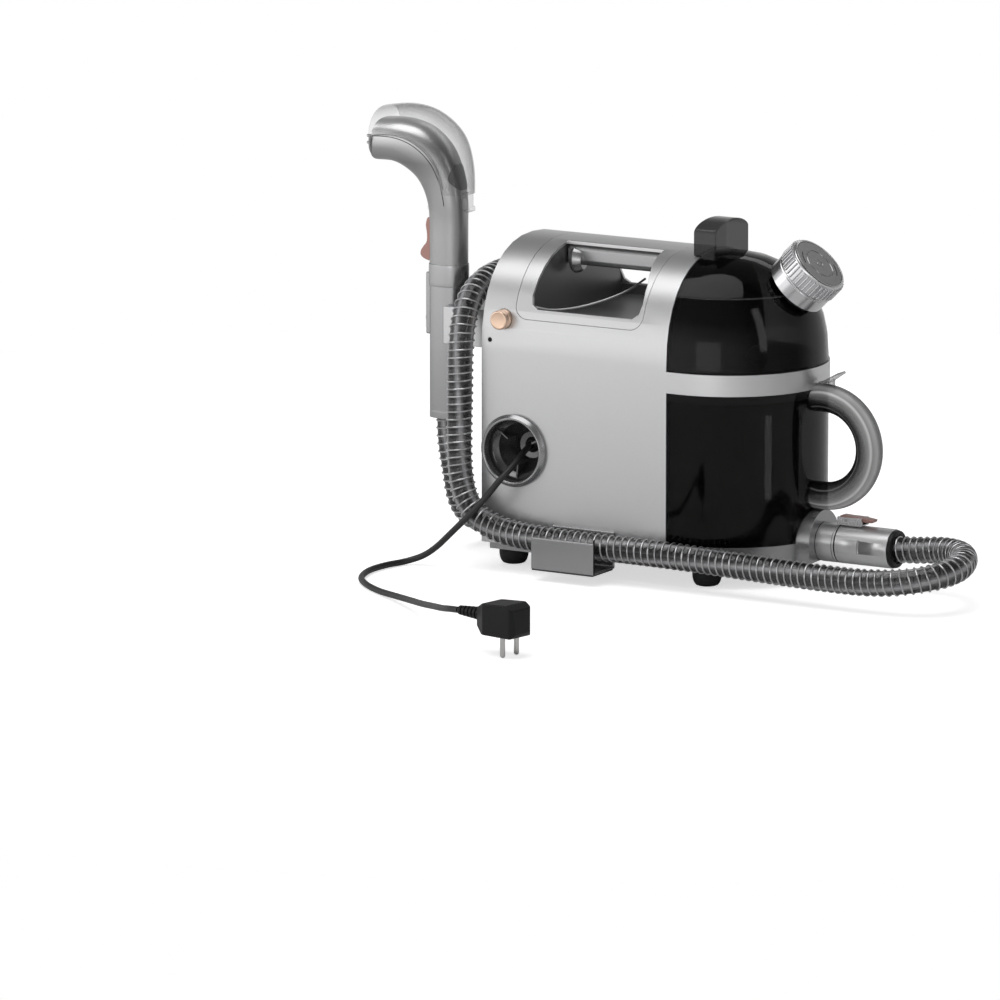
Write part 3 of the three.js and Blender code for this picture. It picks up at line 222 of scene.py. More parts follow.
# %% A block from a cube, with rounded edges
def block(name, low, high, edge=1.0, steps=3):
    low, high = Vector(low), Vector(high)
    clear()
    bpy.ops.mesh.primitive_cube_add(size=1, location=(low + high) / 2)
    piece = named(bpy.context.object, name)
    piece.scale = high - low
    settled(piece)
    return softened(piece, edge * MM, steps)


# %% Extrude an outline into a plate
def plate(name, outline, low, high, edge=0.6, steps=2):
    """outline is a closed loop of (x, z), low to high the range in y, all in metres."""
    piece = drawn(name, [(x, low, z) for x, z in outline], faces=[tuple(range(len(outline)))])

    def thicken():
        bpy.ops.mesh.select_all(action="SELECT")
        bpy.ops.mesh.extrude_region_move(TRANSFORM_OT_translate={"value": (0, high - low, 0)})
        turned_outwards()

    in_edit(piece, thicken)
    return softened(piece, edge * MM, steps)


# %% [markdown]
# The frame's own solids have the right shape, but their edges are knife sharp and their faces are
# loose triangles. A moulded piece starts from a copy of one: the copy is merged, its flat triangles
# are dissolved into whole faces, and its sharp edges are rounded.


# %% A moulded copy of a frame solid
SAME_POINT = 2e-6
FLAT_ANGLE = math.radians(0.6)


def moulded(node, name, edge=0.8, steps=3, degrees=EDGE_ANGLE):
    """edge is the rounding in millimetres; the copy takes the node's place."""
    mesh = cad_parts[node].data.copy()
    mesh.materials.clear()
    piece = named(linked(name, mesh), name)

    def clean():
        bpy.ops.mesh.select_all(action="SELECT")
        bpy.ops.mesh.remove_doubles(threshold=SAME_POINT)
        bpy.ops.mesh.dissolve_limited(angle_limit=FLAT_ANGLE)

    in_edit(piece, clean)
    if "custom_normal" in mesh.attributes:
        mesh.attributes.remove(mesh.attributes["custom_normal"])
    softened(piece, edge * MM, steps, degrees)
    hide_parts(node)
    return piece


# %% [markdown]
# ## Finishes
# A finish is a tree of shader nodes. The small class below lets the tree be written as sums: it
# wraps a socket, and adding or multiplying two of them adds the Math node that does it.


# %% Sockets as numbers
class Amount:
    def __init__(self, finish, socket):
        self.finish = finish
        self.socket = socket

    def math(self, operation, *others):
        node = self.finish.tree.nodes.new("ShaderNodeMath")
        node.operation = operation
        for entry, value in zip(node.inputs, (self, *others)):
            self.finish.feed(entry, value)
        return Amount(self.finish, node.outputs[0])

    def __add__(self, other):
        return self.math("ADD", other)

    def __mul__(self, other):
        return self.math("MULTIPLY", other)

    def __sub__(self, other):
        return self.math("SUBTRACT", other)

    def __rsub__(self, other):
        return (self * -1.0) + other

    __radd__ = __add__
    __rmul__ = __mul__


# %% A finish: one material, its shader and its nodes
class Finish:
    def __init__(self, name, color, roughness, **sockets):
        self.material = bpy.data.materials.new(name)
        self.material.use_nodes = True
        self.tree = self.material.node_tree
        self.shader = self.tree.nodes["Principled BSDF"]
        self.shader.inputs["Base Color"].default_value = (*color, 1)
        self.shader.inputs["Roughness"].default_value = roughness
        for socket, value in sockets.items():
            self.shader.inputs[socket.replace("_", " ")].default_value = value
        self.material.diffuse_color = (*color, 1)

    def feed(self, entry, value):
        if isinstance(value, Amount):
            self.tree.links.new(value.socket, entry)
        elif isinstance(value, (tuple, list)) and len(value) == 3 and entry.type == "RGBA":
            entry.default_value = (*value, 1)
        else:
            entry.default_value = value

    def node(self, kind, settings=None, output=0, **entries):
        made = self.tree.nodes.new(kind)
        for key, value in (settings or {}).items():
            setattr(made, key, value)
        for key, value in entries.items():
            self.feed(made.inputs[key.replace("_", " ")], value)
        return Amount(self, made.outputs[output])

    def ramp(self, value, *stops):
        """Each stop pairs a place along the ramp with a grey or a colour."""
        made = self.node("ShaderNodeValToRGB", Fac=value)
        elements = made.socket.node.color_ramp.elements
        for i, (spot, shade) in enumerate(stops):
            stop = elements[i] if i < 2 else elements.new(spot)
            stop.position = spot
            stop.color = (*shade, 1) if isinstance(shade, tuple) else (shade, shade, shade, 1)
        return made

    def mixed(self, factor, first, second):
        mix = self.tree.nodes.new("ShaderNodeMix")
        mix.data_type = "RGBA"
        for entry, value in ((0, factor), (6, first), (7, second)):
            self.feed(mix.inputs[entry], value)
        return Amount(self, mix.outputs[2])

    def surface(self, **entries):
        for key, value in entries.items():
            self.feed(self.shader.inputs[key.replace("_", " ")], value)
        return self

    def place(self):
        return self.node("ShaderNodeTexCoord", output="Object")

    def noise(self, scale, detail=2.0, stretch=None):
        place = self.place()
        if stretch:
            place = self.node("ShaderNodeMapping", Vector=place, Scale=stretch)
        return self.node("ShaderNodeTexNoise", Vector=place, Scale=scale, Detail=detail)

    def bump(self, height, strength, distance):
        return self.node("ShaderNodeBump", Height=height, Strength=strength, Distance=distance)

    def on(self, *pieces, slot=None):
        for piece in pieces:
            piece.data.materials.clear()
            piece.data.materials.append(self.material)
        print(self.material.name, "on", *(piece.name for piece in pieces))
        return pieces[0] if len(pieces) == 1 else pieces


# %% [markdown]
# ## The finishes of the machine
# The body is plastic under a satin metallic paint: fine bright flakes in a soft clear coat. The flakes
# are a very small noise that shifts colour and roughness a little, and a second, wide noise keeps large
# faces from looking printed.

# %% Satin metallic paint
def metallic_paint(name, color, roughness, flake=900.0, metallic=0.82):
    paint = Finish(name, color, roughness, Metallic=metallic, Coat_Weight=0.08, Coat_Roughness=0.25)
    flakes = paint.noise(flake, 1.0)
    cloud = paint.noise(9.0, 2.0)
    shade = flakes * 0.10 + cloud * 0.05
    return paint.surface(
        Base_Color=paint.mixed(shade, color, tuple(min(1, c * 1.5) for c in color)),
        Roughness=flakes * 0.08 + (roughness - 0.04),
        Normal=paint.bump(flakes, 0.05, 0.0001),
    )


silver = metallic_paint("silver paint", (0.60, 0.60, 0.605), 0.33)
bright_silver = metallic_paint("bright silver paint", (0.66, 0.66, 0.67), 0.26)
gunmetal = metallic_paint("gunmetal paint", (0.36, 0.36, 0.365), 0.24, metallic=0.92)
dark_silver = metallic_paint("dark silver paint", (0.34, 0.34, 0.345), 0.24)
rose_gold = metallic_paint("rose gold paint", (0.36, 0.20, 0.175), 0.3, metallic=0.5)
pale_gold = Finish("pale rose gold", (0.80, 0.58, 0.44), 0.3, Metallic=0.85)
gold_wear = pale_gold.noise(200.0, 2.0)
pale_gold.surface(Roughness=gold_wear * 0.12 + 0.26)


# %% [markdown]
# Black parts are moulded with a fine matt texture. Rubber is rougher and a little greyer.

# %% Moulded blacks
def moulded_black(name, color, roughness, grain=1400.0):
    black = Finish(name, color, roughness, Specular_IOR_Level=0.2)
    texture = black.noise(grain, 2.0)
    wear = black.noise(25.0, 3.0)
    return black.surface(
        Roughness=texture * 0.12 + wear * 0.08 + (roughness - 0.1),
        Normal=black.bump(texture, 0.03, 0.0001),
    )


black_plastic = moulded_black("black plastic", (0.012, 0.012, 0.013), 0.38)
graphite_plastic = moulded_black("graphite plastic", (0.05, 0.05, 0.053), 0.42)
deep_black = moulded_black("port black", (0.006, 0.006, 0.006), 0.3)
rubber = moulded_black("black rubber", (0.02, 0.02, 0.02), 0.6, 900.0)
board_green = moulded_black("circuit board", (0.02, 0.12, 0.05), 0.45)


# %% [markdown]
# Smoked plastic lets a little light through each face, so a wall darkens what is behind it and two
# walls darken it more. Seen edge on it closes up, which Layer Weight gives.

# %% See-through plastics
def clear_plastic(name, color, roughness, facing_alpha, edge_alpha, streaks=0.03, shine=0.5, seam=None):
    """seam is the height of a painted highlight line round the piece, standing in for light caught on the
    seam's edge, in metres.
    """
    plastic = Finish(name, color, roughness, IOR=1.45, Specular_IOR_Level=shine)
    if seam:
        height = plastic.node("ShaderNodeSeparateXYZ", output=2, Vector=plastic.place())
        # The paler band at the seam's height is a painted highlight, where the seam's edge would catch light.
        line = height.math("COMPARE", seam, 0.0006)
        plastic.surface(Base_Color=plastic.mixed(line, color, (0.09, 0.09, 0.09)))
    facing = plastic.node("ShaderNodeLayerWeight", output=1, Blend=0.35)
    veil = plastic.noise(14.0, 2.0)
    return plastic.surface(
        Alpha=facing * (edge_alpha - facing_alpha) + facing_alpha,
        Roughness=veil * streaks + roughness,
    )


smoke = clear_plastic("smoked plastic", (0.002, 0.002, 0.002), 0.04, 0.6, 0.98, shine=0.3)
dark_smoke = clear_plastic("dark smoked plastic", (0.004, 0.004, 0.004), 0.07, 0.72, 0.98, shine=0.35)
TANK_SEAM = 0.2738
tank_smoke = clear_plastic(
    "smoked tank plastic", (0.002, 0.002, 0.002), 0.04, 0.6, 0.97, shine=0.3, seam=TANK_SEAM,
)
clear_case = clear_plastic("clear plastic", (0.28, 0.28, 0.285), 0.03, 0.05, 0.62)
frosted = clear_plastic("frosted plastic", (0.50, 0.51, 0.52), 0.22, 0.42, 0.92, 0.08)

# %% [markdown]
# Bare metal is brushed on the axles and the fan, and plated on the plug's pins.

# %% Bright metal
steel = Finish("brushed steel", (0.6, 0.6, 0.61), 0.25, Metallic=1.0)
brushing = steel.noise(60.0, 2.0, stretch=(1.0, 1.0, 30.0))
steel.surface(Roughness=brushing * 0.2 + 0.15, Normal=steel.bump(brushing, 0.05, 0.0001))
pin_metal = Finish("plated pins", (0.62, 0.61, 0.6), 0.18, Metallic=1.0)
pin_wear = pin_metal.noise(300.0, 2.0)
pin_metal.surface(Roughness=pin_wear * 0.15 + 0.1)


# %% [markdown]
# ## The mains lead
# The lead leaves the eyelet in the middle of the round port, hangs over the port's lower lip to the
# floor and runs in one easy bend to its plug. It is one smooth curve with a round section.

# %% Lay the mains lead
CORD_DIAMETER = 0.006
CORD_POINTS = [at(x, y, z) for x, y, z in (
    (-178.4, -66.5, 113.9), (-177, -79, 110.8), (-175.5, -92, 106.2), (-177.5, -106, 97.6),
    (-182, -118, 88), (-191.5, -127, 72.7), (-204, -132, 57.5), (-223, -134, 38.5),
    (-246, -130, 18.5), (-262, -128, 8.5), (-275, -135, 3.6), (-282.5, -158, 3.2),
    (-283.5, -188, 3.2), (-272, -222, 3.2), (-251, -247, 3.2), (-226, -266, 3.2), (-193, -290, 6),
    (-162, -316, 10), (-129, -349, 16), (-97, -382, 23), (-70, -410, 29), (-53, -425, 32.8),
    (-38.8, -432.5, 34.6),
)]


def smooth_path(points, per_span=8):
    """A smooth line through the points, as a bent wire takes."""
    ends = [points[0] * 2 - points[1], *points, points[-1] * 2 - points[-2]]
    line = []
    for a, b, c, d in zip(ends, ends[1:], ends[2:], ends[3:]):
        ta = 0.0
        tb = ta + max((b - a).length, 1e-9) ** 0.5
        tc = tb + max((c - b).length, 1e-9) ** 0.5
        td = tc + max((d - c).length, 1e-9) ** 0.5
        for step in range(per_span):
            t = tb + (tc - tb) * step / per_span
            ab = a * ((tb - t) / (tb - ta)) + b * ((t - ta) / (tb - ta))
            bc = b * ((tc - t) / (tc - tb)) + c * ((t - tb) / (tc - tb))
            cd = c * ((td - t) / (td - tc)) + d * ((t - tc) / (td - tc))
            abc = ab * ((tc - t) / (tc - ta)) + bc * ((t - ta) / (tc - ta))
            bcd = bc * ((td - t) / (td - tb)) + cd * ((t - tb) / (td - tb))
            line.append(abc * ((tc - t) / (tc - tb)) + bcd * ((t - tb) / (tc - tb)))
    return line + [points[-1]]


def path_length(path):
    return sum((b - a).length for a, b in zip(path, path[1:]))


cord_path = smooth_path(CORD_POINTS)
cord_length = path_length(cord_path)
print("free mains lead:", round(cord_length, 3), "m")


# %% [markdown]
# Both the lead and the hose are swept along their path: a ring of points stands square to the path
# at each step, carried along without twisting.

# %% Sweep a ring along a path
def even_steps(path, step):
    """Points a fixed step apart along the path."""
    spots, left, here = [path[0].copy()], step, path[0].copy()
    for target in path[1:]:
        while (target - here).length >= left:
            here = here + (target - here).normalized() * left
            spots.append(here.copy())
            left = step
        left -= (target - here).length
        here = target.copy()
    return spots


def carried(spots):
    """Each spot with its two side ways and the length so far, carried on without a twist."""
    heading = (spots[1] - spots[0]).normalized()
    side = heading.orthogonal().normalized()
    along = 0.0
    for i, spot in enumerate(spots):
        ahead = (spots[min(i + 1, len(spots) - 1)] - spots[max(i - 1, 0)]).normalized()
        side = heading.rotation_difference(ahead) @ side
        heading = ahead
        side = (side - heading * side.dot(heading)).normalized()
        if i:
            along += (spot - spots[i - 1]).length
        yield spot, side, heading.cross(side), along


def tube(name, vertices, sides):
    """Rings of points, one after another, become a closed tube."""
    last = len(vertices) - sides
    faces = []
    for start in range(0, last, sides):
        for k in range(sides):
            a, b = start + k, start + (k + 1) % sides
            faces.append((a, b, b + sides, a + sides))
    faces.append(tuple(reversed(range(sides))))
    faces.append(tuple(last + k for k in range(sides)))
    return drawn(name, vertices, faces=faces)


def swept(name, spots, sides, radius):
    """radius is a number, or gives one for a length along and an angle round."""
    vertices = []
    for spot, side, up, along in carried(spots):
        for k in range(sides):
            angle = math.tau * k / sides
            reach = radius(along, angle) if callable(radius) else radius
            vertices.append(spot + side * (reach * math.cos(angle)) + up * (reach * math.sin(angle)))
    return smoothed(tube(name, vertices, sides), TUBE_ANGLE)


CORD_STEP = 0.003
mains_lead = swept("mains_lead", even_steps(cord_path, CORD_STEP), 16, CORD_DIAMETER / 2)
cord_cover = Finish("cord cover", (0.018, 0.018, 0.018), 0.45)
sheath = cord_cover.noise(500.0, 2.0)
cord_cover.surface(Roughness=sheath * 0.2 + 0.35, Normal=cord_cover.bump(sheath, 0.1, 0.0002))
cord_cover.on(mains_lead, slot="cord")
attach(mains_lead, "machine")
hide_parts("mains_cord")

# %% [markdown]
# ## The suction hose
# A clear hose with a stiff wire wound round it. It goes from the coupling along the front, up and over
# the left end, down behind and up into the tool.

# %% Lay the hose
HOSE_DIAMETER = 0.026
SPIRAL_PITCH = 0.0073
HOSE_POINTS = [at(x, y, z) for x, y, z in (
    (184.4, 0, 38.5), (205, 0, 40), (230, -1, 42.5), (254, -12, 43.5), (272, -36, 43),
    (278, -64, 40), (268, -90, 36), (244, -106, 32), (210, -111, 29), (170, -111, 28.5),
    (120, -111, 29.5), (70, -111, 31), (20, -111, 32.5), (-40, -112, 33.5), (-102, -113.5, 34),
    (-150, -113, 35.5), (-184, -112, 39.5), (-208, -112, 49), (-222, -112, 66), (-229, -111, 90),
    (-231.5, -109, 120), (-232, -107, 160), (-232.5, -105, 200), (-233, -100, 228),
    (-234, -86, 251), (-235, -58, 265), (-235, -20, 270), (-235, 20, 268), (-235.5, 56, 258),
    (-236, 80, 234), (-237, 89, 200), (-239, 91, 155), (-243, 88, 108), (-249, 78, 66),
    (-258, 56, 36), (-267, 22, 23), (-271, -14, 27), (-273, -37, 48), (-275.5, -45, 80),
    (-277.6, -49.4, 110), (-278, -50, 134), (-278, -50, 170),
)]
hose_path = smooth_path(HOSE_POINTS)
hose_length = path_length(hose_path)
print("suction hose:", round(hose_length, 3), "m")


# %% [markdown]
# The wall sags a little between the turns of the spiral. The spiral itself is a thin wire: its path is
# worked out on the same carried frame, and it is swept like the hose and joined to it. A number at each
# point, 1 on the wire and 0 on the wall, steers the finish, and a second one places painted highlights:
# the long pale streaks that reflected light makes inside a clear tube.

# %% Wall and wire
WIRE_RADIUS = 0.0008
WALL_RADIUS = HOSE_DIAMETER / 2 - 2 * WIRE_RADIUS * 0.8
WALL_SAG = 0.0004
WALL_STEP = SPIRAL_PITCH / 4
WALL_SIDES = 28
TURN_STEPS = 22


def wall_radius(along, angle):
    """The wall sags between two turns of the wire."""
    return WALL_RADIUS - WALL_SAG * (0.5 - 0.5 * math.cos(math.tau * along / SPIRAL_PITCH - angle))


def helix(spots, radius, pitch):
    """A line that winds round the path, once for each pitch."""
    line = []
    for spot, side, up, along in carried(spots):
        turn = math.tau * along / pitch
        line.append(spot + side * (radius * math.cos(turn)) + up * (radius * math.sin(turn)))
    return line


def marked(piece, name, values):
    piece.data.attributes.new(name, "FLOAT", "POINT").data.foreach_set("value", values)


wall_spots = even_steps(hose_path, WALL_STEP)
hose = swept("ribbed_hose", wall_spots, WALL_SIDES, wall_radius)
marked(hose, "spiral", [0.0] * len(hose.data.vertices))
marked(hose, "light_streak", [
    0.5 + 0.5 * math.sin(4 * math.tau * k / WALL_SIDES + 0.05 * i)
    for i in range(len(wall_spots)) for k in range(WALL_SIDES)
])
wire_line = helix(
    even_steps(hose_path, SPIRAL_PITCH / TURN_STEPS), HOSE_DIAMETER / 2 - WIRE_RADIUS, SPIRAL_PITCH,
)
wire = swept("hose_wire", wire_line, 6, WIRE_RADIUS)
marked(wire, "spiral", [1.0] * len(wire.data.vertices))
marked(wire, "light_streak", [0.0] * len(wire.data.vertices))
joined([hose, wire])
print("hose triangles:", sum(len(p.vertices) - 2 for p in hose.data.polygons))

# %% [markdown]
# The wall reads as dark clear plastic with a few pale streaks of painted reflected light, and the wire in it
# is partly metallic.

# %% Hose finish
hose_plastic = Finish("ribbed clear hose", (0.3, 0.3, 0.31), 0.16, Specular_IOR_Level=0.5)
on_wire = hose_plastic.node("ShaderNodeAttribute", {"attribute_name": "spiral"}, output=2)
light_streak_mask = hose_plastic.node("ShaderNodeAttribute", {"attribute_name": "light_streak"}, output=2)
# The ramp paints pale streaks of reflected light into the wall's colour: painted highlights.
wall_with_painted_streaks = hose_plastic.ramp(
    light_streak_mask, (0.0, 0.015), (0.5, 0.03), (0.8, (0.14, 0.14, 0.145)), (1.0, (0.42, 0.42, 0.43)),
)
hose_tint = hose_plastic.mixed(on_wire, wall_with_painted_streaks, (0.50, 0.50, 0.51))
hose_facing = hose_plastic.node("ShaderNodeLayerWeight", output=1, Blend=0.4)
hose_plastic.surface(
    Base_Color=hose_tint,
    Alpha=on_wire * 0.2 + hose_facing * 0.15 + 0.82,
    Metallic=on_wire * 0.7,
    Roughness=on_wire * 0.18 + 0.1,
)
hose_plastic.on(hose, slot="hose")
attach(hose, "machine")
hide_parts("suction_hose")

# %% [markdown]
# ## The housing
# One silver shell, arched on top and open at the ends, with a band that runs round the right end
# between the two water vessels. Its long edges are pressed, so they get a small rounding.

# %% Housing shell and base
housing = silver.on(moulded("main_housing", "housing_shell", 0.9, 3), slot="satin_silver")
# The base tray takes the darker silver partly for its own grey saddle and partly as painted shade under the
# housing.
tray = dark_silver.on(moulded("base_tray", "base_shell", 0.5, 2), slot="satin_silver")
end_plate = gunmetal.on(moulded("end_cover", "end_plate", 0.6, 2), slot="satin_dark")
for piece in (housing, tray, end_plate):
    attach(piece, "machine")

# %% [markdown]
# The carry opening is cut in a separate cheek let into the arch. The grip bridges the opening under
# the ridge and the tub below it is dark, so that fingers find room. A turned boss holds the grip's left
# end, and a fine bright line marks the tub's rim.

# %% Carry opening
tub_paint = metallic_paint("dark tub paint", (0.17, 0.17, 0.173), 0.38, metallic=0.6)
surround = silver.on(moulded("handle_surround", "carry_surround", 1.1, 3), slot="satin_silver")
grip = dark_silver.on(moulded("carry_grip", "carry_bar", 1.6, 4), slot="satin_silver")
tub = tub_paint.on(moulded("handle_tub", "carry_tub", 0.8, 2), slot="black")
root = spun(
    "carry_root", [(0, 0), (5, 0.3), (9, 2), (10.5, 5.5), (9.5, 10), (7.5, 14), (0, 14)],
    (0, 0, 0), (1, 0, 0), 40, 0.3,
)
root.scale = (1, 0.9, 1.25)
root.location = at(-161.5, -18, 288)
settled(root)
dark_silver.on(root, slot="satin_silver")
tub_edge = swept(
    "carry_rim", smooth_path([at(x, y, z) for x, y, z in (
        (-161, -86, 252), (-150, -78, 249), (-132, -62, 250), (-112, -40, 256), (-98, -18, 264),
        (-92, 2, 272),
    )]), 12, 0.0011,
)
silver.on(tub_edge, slot="satin_silver")
for piece in (surround, grip, tub, root, tub_edge):
    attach(piece, "machine")

# %% [markdown]
# ## The round port
# A bevelled silver ring stands on the housing's side. Inside is a black funnel that narrows towards
# the eyelet where the lead comes out.

# %% Port ring, funnel and eyelet
port_face = front_of("port_ring", HOUSING_LOW.y)
TOWARDS_FRONT = (0, -1, 0)
port_ring = spun(
    "port_bezel",
    [(29.4, -1.6), (29.4, 5.2), (29.9, 6.3), (30.9, 6.9), (31.6, 6.8), (32.4, 6.2), (34.9, 3.4), (34.9, 0.4),
     (31.8, 0.35), (31.8, -1.6), (29.4, -1.6)],
    port_face, TOWARDS_FRONT, 96, 0.35,
)
dark_silver.on(port_ring, slot="satin_silver")
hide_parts("port_ring")
funnel = spun(
    "port_funnel",
    [(30.3, -2.4), (30.2, -6.0), (28.5, -9.0), (24.0, -12.0), (22.6, -16.0), (19.0, -21.0), (15.6, -26.0),
     (13.0, -33.0), (7.3, -33.6), (7.3, -35.6), (27.0, -35.6), (30.3, -28.0), (30.3, -2.4)],
    port_face, TOWARDS_FRONT, 72, 0.4,
)
funnel_paint = metallic_paint("funnel paint", (0.14, 0.14, 0.142), 0.2, metallic=0.8)
funnel_paint.on(funnel, slot="black")
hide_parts("port_cup")
eyelet = black_plastic.on(moulded("cord_eyelet", "lead_eyelet", 0.3, 2), slot="black")
for piece in (port_ring, funnel, eyelet):
    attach(piece, "machine")

# %% [markdown]
# Three small ribs guide the lead inside the funnel. They stand a third of a turn apart.

# %% Funnel ribs
RIB_RADIUS = 0.021
RIB_DEPTH = 0.017
for i in range(3):
    tilt = math.radians(25 + 120 * i)
    spot = port_face + Vector((math.cos(tilt) * RIB_RADIUS, RIB_DEPTH, math.sin(tilt) * RIB_RADIUS))
    rib_piece = block(f"funnel_rib_{i + 1}", (-0.006, -0.009, -0.001), (0.006, 0.009, 0.001), 0.4)
    rib_piece.rotation_euler = (0, -tilt, 0)
    rib_piece.location = spot
    settled(rib_piece)
    funnel_paint.on(rib_piece, slot="black")
    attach(rib_piece, "machine")

# %% [markdown]
# ## The power button and its light
# A low turned button in pale rose gold with a dished face and a fine groove behind its rim, and a tiny
# dark lens below it.

# %% Power button
button = spun(
    "power_key",
    [(0, -0.5), (6.6, -0.4), (7.6, 0.0), (8.5, -0.2), (9.0, -0.8), (9.2, -1.6), (9.2, -5.4), (8.8, -5.7),
     (8.8, -6.3), (9.3, -6.6), (9.3, -20.0), (0, -20.0)],
    front_of("power_button"), TOWARDS_FRONT, 64,
)
pale_gold.on(button, slot="rose")
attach(button, "power_key")
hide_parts("power_button")
lens = spun(
    "light_lens", [(0, 0.25), (1.2, 0.2), (1.9, -0.1), (1.9, -6.0), (0, -6.0)],
    front_of("indicator_lens", HOUSING_LOW.y), TOWARDS_FRONT, 32,
)
deep_black.on(lens, slot="black")
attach(lens, "machine")
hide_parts("indicator_lens")

# %% [markdown]
# ## The smoked tank and jug
# Both vessels are dark see-through plastic. What makes them read as vessels is inside: ribs, the
# standpipe, the float's guide and the block under the lid all show faintly through the wall.

# %% Vessel shells
tank_wall = tank_smoke.on(moulded("tank_base", "tank_lower", 0.5, 2), slot="smoke")
tank_dome = tank_smoke.on(moulded("tank_top", "tank_dome", 0.5, 2), slot="smoke")
jug_wall = smoke.on(moulded("jug_shell", "jug_wall", 0.8, 3), slot="smoke")
jug_cover = dark_smoke.on(moulded("jug_lid", "jug_cover", 0.5, 2), slot="smoke")
tank_lift = dark_smoke.on(moulded("tank_grip", "tank_lift_block", 2.2, 4), slot="satin_dark")
standpipe = dark_smoke.on(moulded("jug_standpipe", "jug_riser", 0.5, 2), slot="smoke")
jug_ball = black_plastic.on(moulded("jug_float", "jug_float_block", 1.0, 3), slot="black")
for piece in (tank_wall, tank_dome, tank_lift):
    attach(piece, "clean_tank")
for piece in (jug_wall, jug_cover, standpipe):
    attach(piece, "dirty_jug")
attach(jug_ball, "float")

# %% [markdown]
# The filler points up and out at 45 degrees. Its neck is plain black, and the silver cap has a knurled
# upper band and a plain lower band.

# %% Filler neck
FILLER = at(66, 0, 272)
UP_AND_OUT = Vector((1, 0, 1)).normalized()
neck = black_plastic.on(moulded("filler_neck", "filler_throat", 0.4, 2), slot="black")
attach(neck, "clean_tank")

# %% Filler cap
HALF_CAP = 0.018
cap_root = FILLER + UP_AND_OUT * ((middle_of("filler_cap") - FILLER).dot(UP_AND_OUT) - HALF_CAP)
cap = spun(
    "cap_body",
    [(0, 3.0), (22.5, 3.0), (22.5, 0.6), (29.5, 0.6), (30.6, 1.5), (30.6, 14.6), (29.9, 15.2), (29.9, 16.4),
     (30.3, 17.0), (30.3, 33.4), (29.2, 35.4), (27.8, 36.0), (26.9, 36.0), (26.7, 35.0), (0, 35.0)],
    cap_root, UP_AND_OUT, 96, 0.25,
)
cap_silver = Finish("cap silver", (0.62, 0.62, 0.63), 0.22, Metallic=0.95)
cap_silver.on(cap, slot="satin_silver")
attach(cap, "tank_cap")
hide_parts("filler_cap")

# %% [markdown]
# A darker disc is let into the cap's face, with a groove and a small boss. The knurl is one rounded
# ridge, copied round the cap and joined.

# %% Cap disc
disc = spun(
    "cap_disc",
    [(0, 34.8), (26.5, 34.8), (26.5, 35.5), (26.1, 35.8), (16.4, 35.8), (15.9, 35.2), (15.1, 35.2),
     (14.6, 35.8), (4.4, 35.8), (4.1, 35.4), (3.0, 35.4), (2.7, 35.9), (0, 36.0)],
    cap_root, UP_AND_OUT, 96,
)
disc_metal = metallic_paint("cap face", (0.30, 0.30, 0.305), 0.3, metallic=0.9)
disc_metal.on(disc, slot="satin_silver")
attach(disc, "tank_cap")

# %% Knurl
RIDGES = 44
RIDGE_FOOT = Matrix.Translation((0.0306, 0, 0.0178))
cap_pose = Matrix.Translation(cap_root) @ UP_AND_OUT.to_track_quat("Z", "Y").to_matrix().to_4x4()
ridge = block("cap_ridge_1", (-0.0012, -0.0009, 0.0), (0.0012, 0.0009, 0.0152), 0.7, 3)
cap_silver.on(ridge, slot="satin_silver")
ridges = [ridge] + [linked(f"cap_ridge_{i}", ridge.data.copy()) for i in range(2, RIDGES + 1)]
for i, piece in enumerate(ridges):
    piece.matrix_world = cap_pose @ Matrix.Rotation(math.tau * i / RIDGES, 4, "Z") @ RIDGE_FOOT
    settled(piece)
joined(ridges)
named(ridges[0], "cap_knurl")
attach(ridges[0], "tank_cap")

# %% [markdown]
# Two plain arcs stand for the marks that say open and shut. Each is a thin spun ring, bisected twice.

# %% Cap marks
for i, turn in enumerate((35, 215)):
    mark = spun(
        f"cap_mark_{i + 1}", [(20.2, 35.7), (21.2, 35.7), (21.2, 36.0), (20.2, 36.0), (20.2, 35.7)],
        (0, 0, 0), steps=96,
    )

    def keep_an_arc():
        for angle in (turn, turn + 220):
            normal = (math.cos(math.radians(angle)), math.sin(math.radians(angle)), 0)
            bpy.ops.mesh.select_all(action="SELECT")
            bpy.ops.mesh.bisect(plane_co=(0, 0, 0), plane_no=normal, clear_outer=True, use_fill=True)

    in_edit(mark, keep_an_arc)
    mark.matrix_world = cap_pose
    settled(mark)
    graphite_plastic.on(mark, slot="black")
    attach(mark, "tank_cap")

# %% [markdown]
# The jug's handle is a thick clear D, its colour painted in bands from its middle outwards: painted shade
# on the inner face and painted highlights along the outer rim. The thumb lever on top of it is clear too.

# %% Jug handle and lever
HANDLE_MIDDLE = at(105, 0, 129)
HANDLE_BEND = 46.8
HANDLE_HALF = 12.4 * MM
HANDLE_SQUARENESS = 2.6
loop_spots = [(x, HANDLE_BEND) for x in (-14.6, -8, -4)]
for k in range(41):
    angle = math.pi / 2 - math.pi * k / 40
    loop_spots.append((HANDLE_BEND * math.cos(angle), HANDLE_BEND * math.sin(angle)))
loop_spots += [(x, -HANDLE_BEND) for x in (-4, -8, -14.6)]
loop_path = [HANDLE_MIDDLE + Vector((x, 0, z)) * MM for x, z in loop_spots]


def handle_radius(along, angle):
    c, s = abs(math.cos(angle)), abs(math.sin(angle))
    return HANDLE_HALF / (c ** HANDLE_SQUARENESS + s ** HANDLE_SQUARENESS) ** (1 / HANDLE_SQUARENESS)


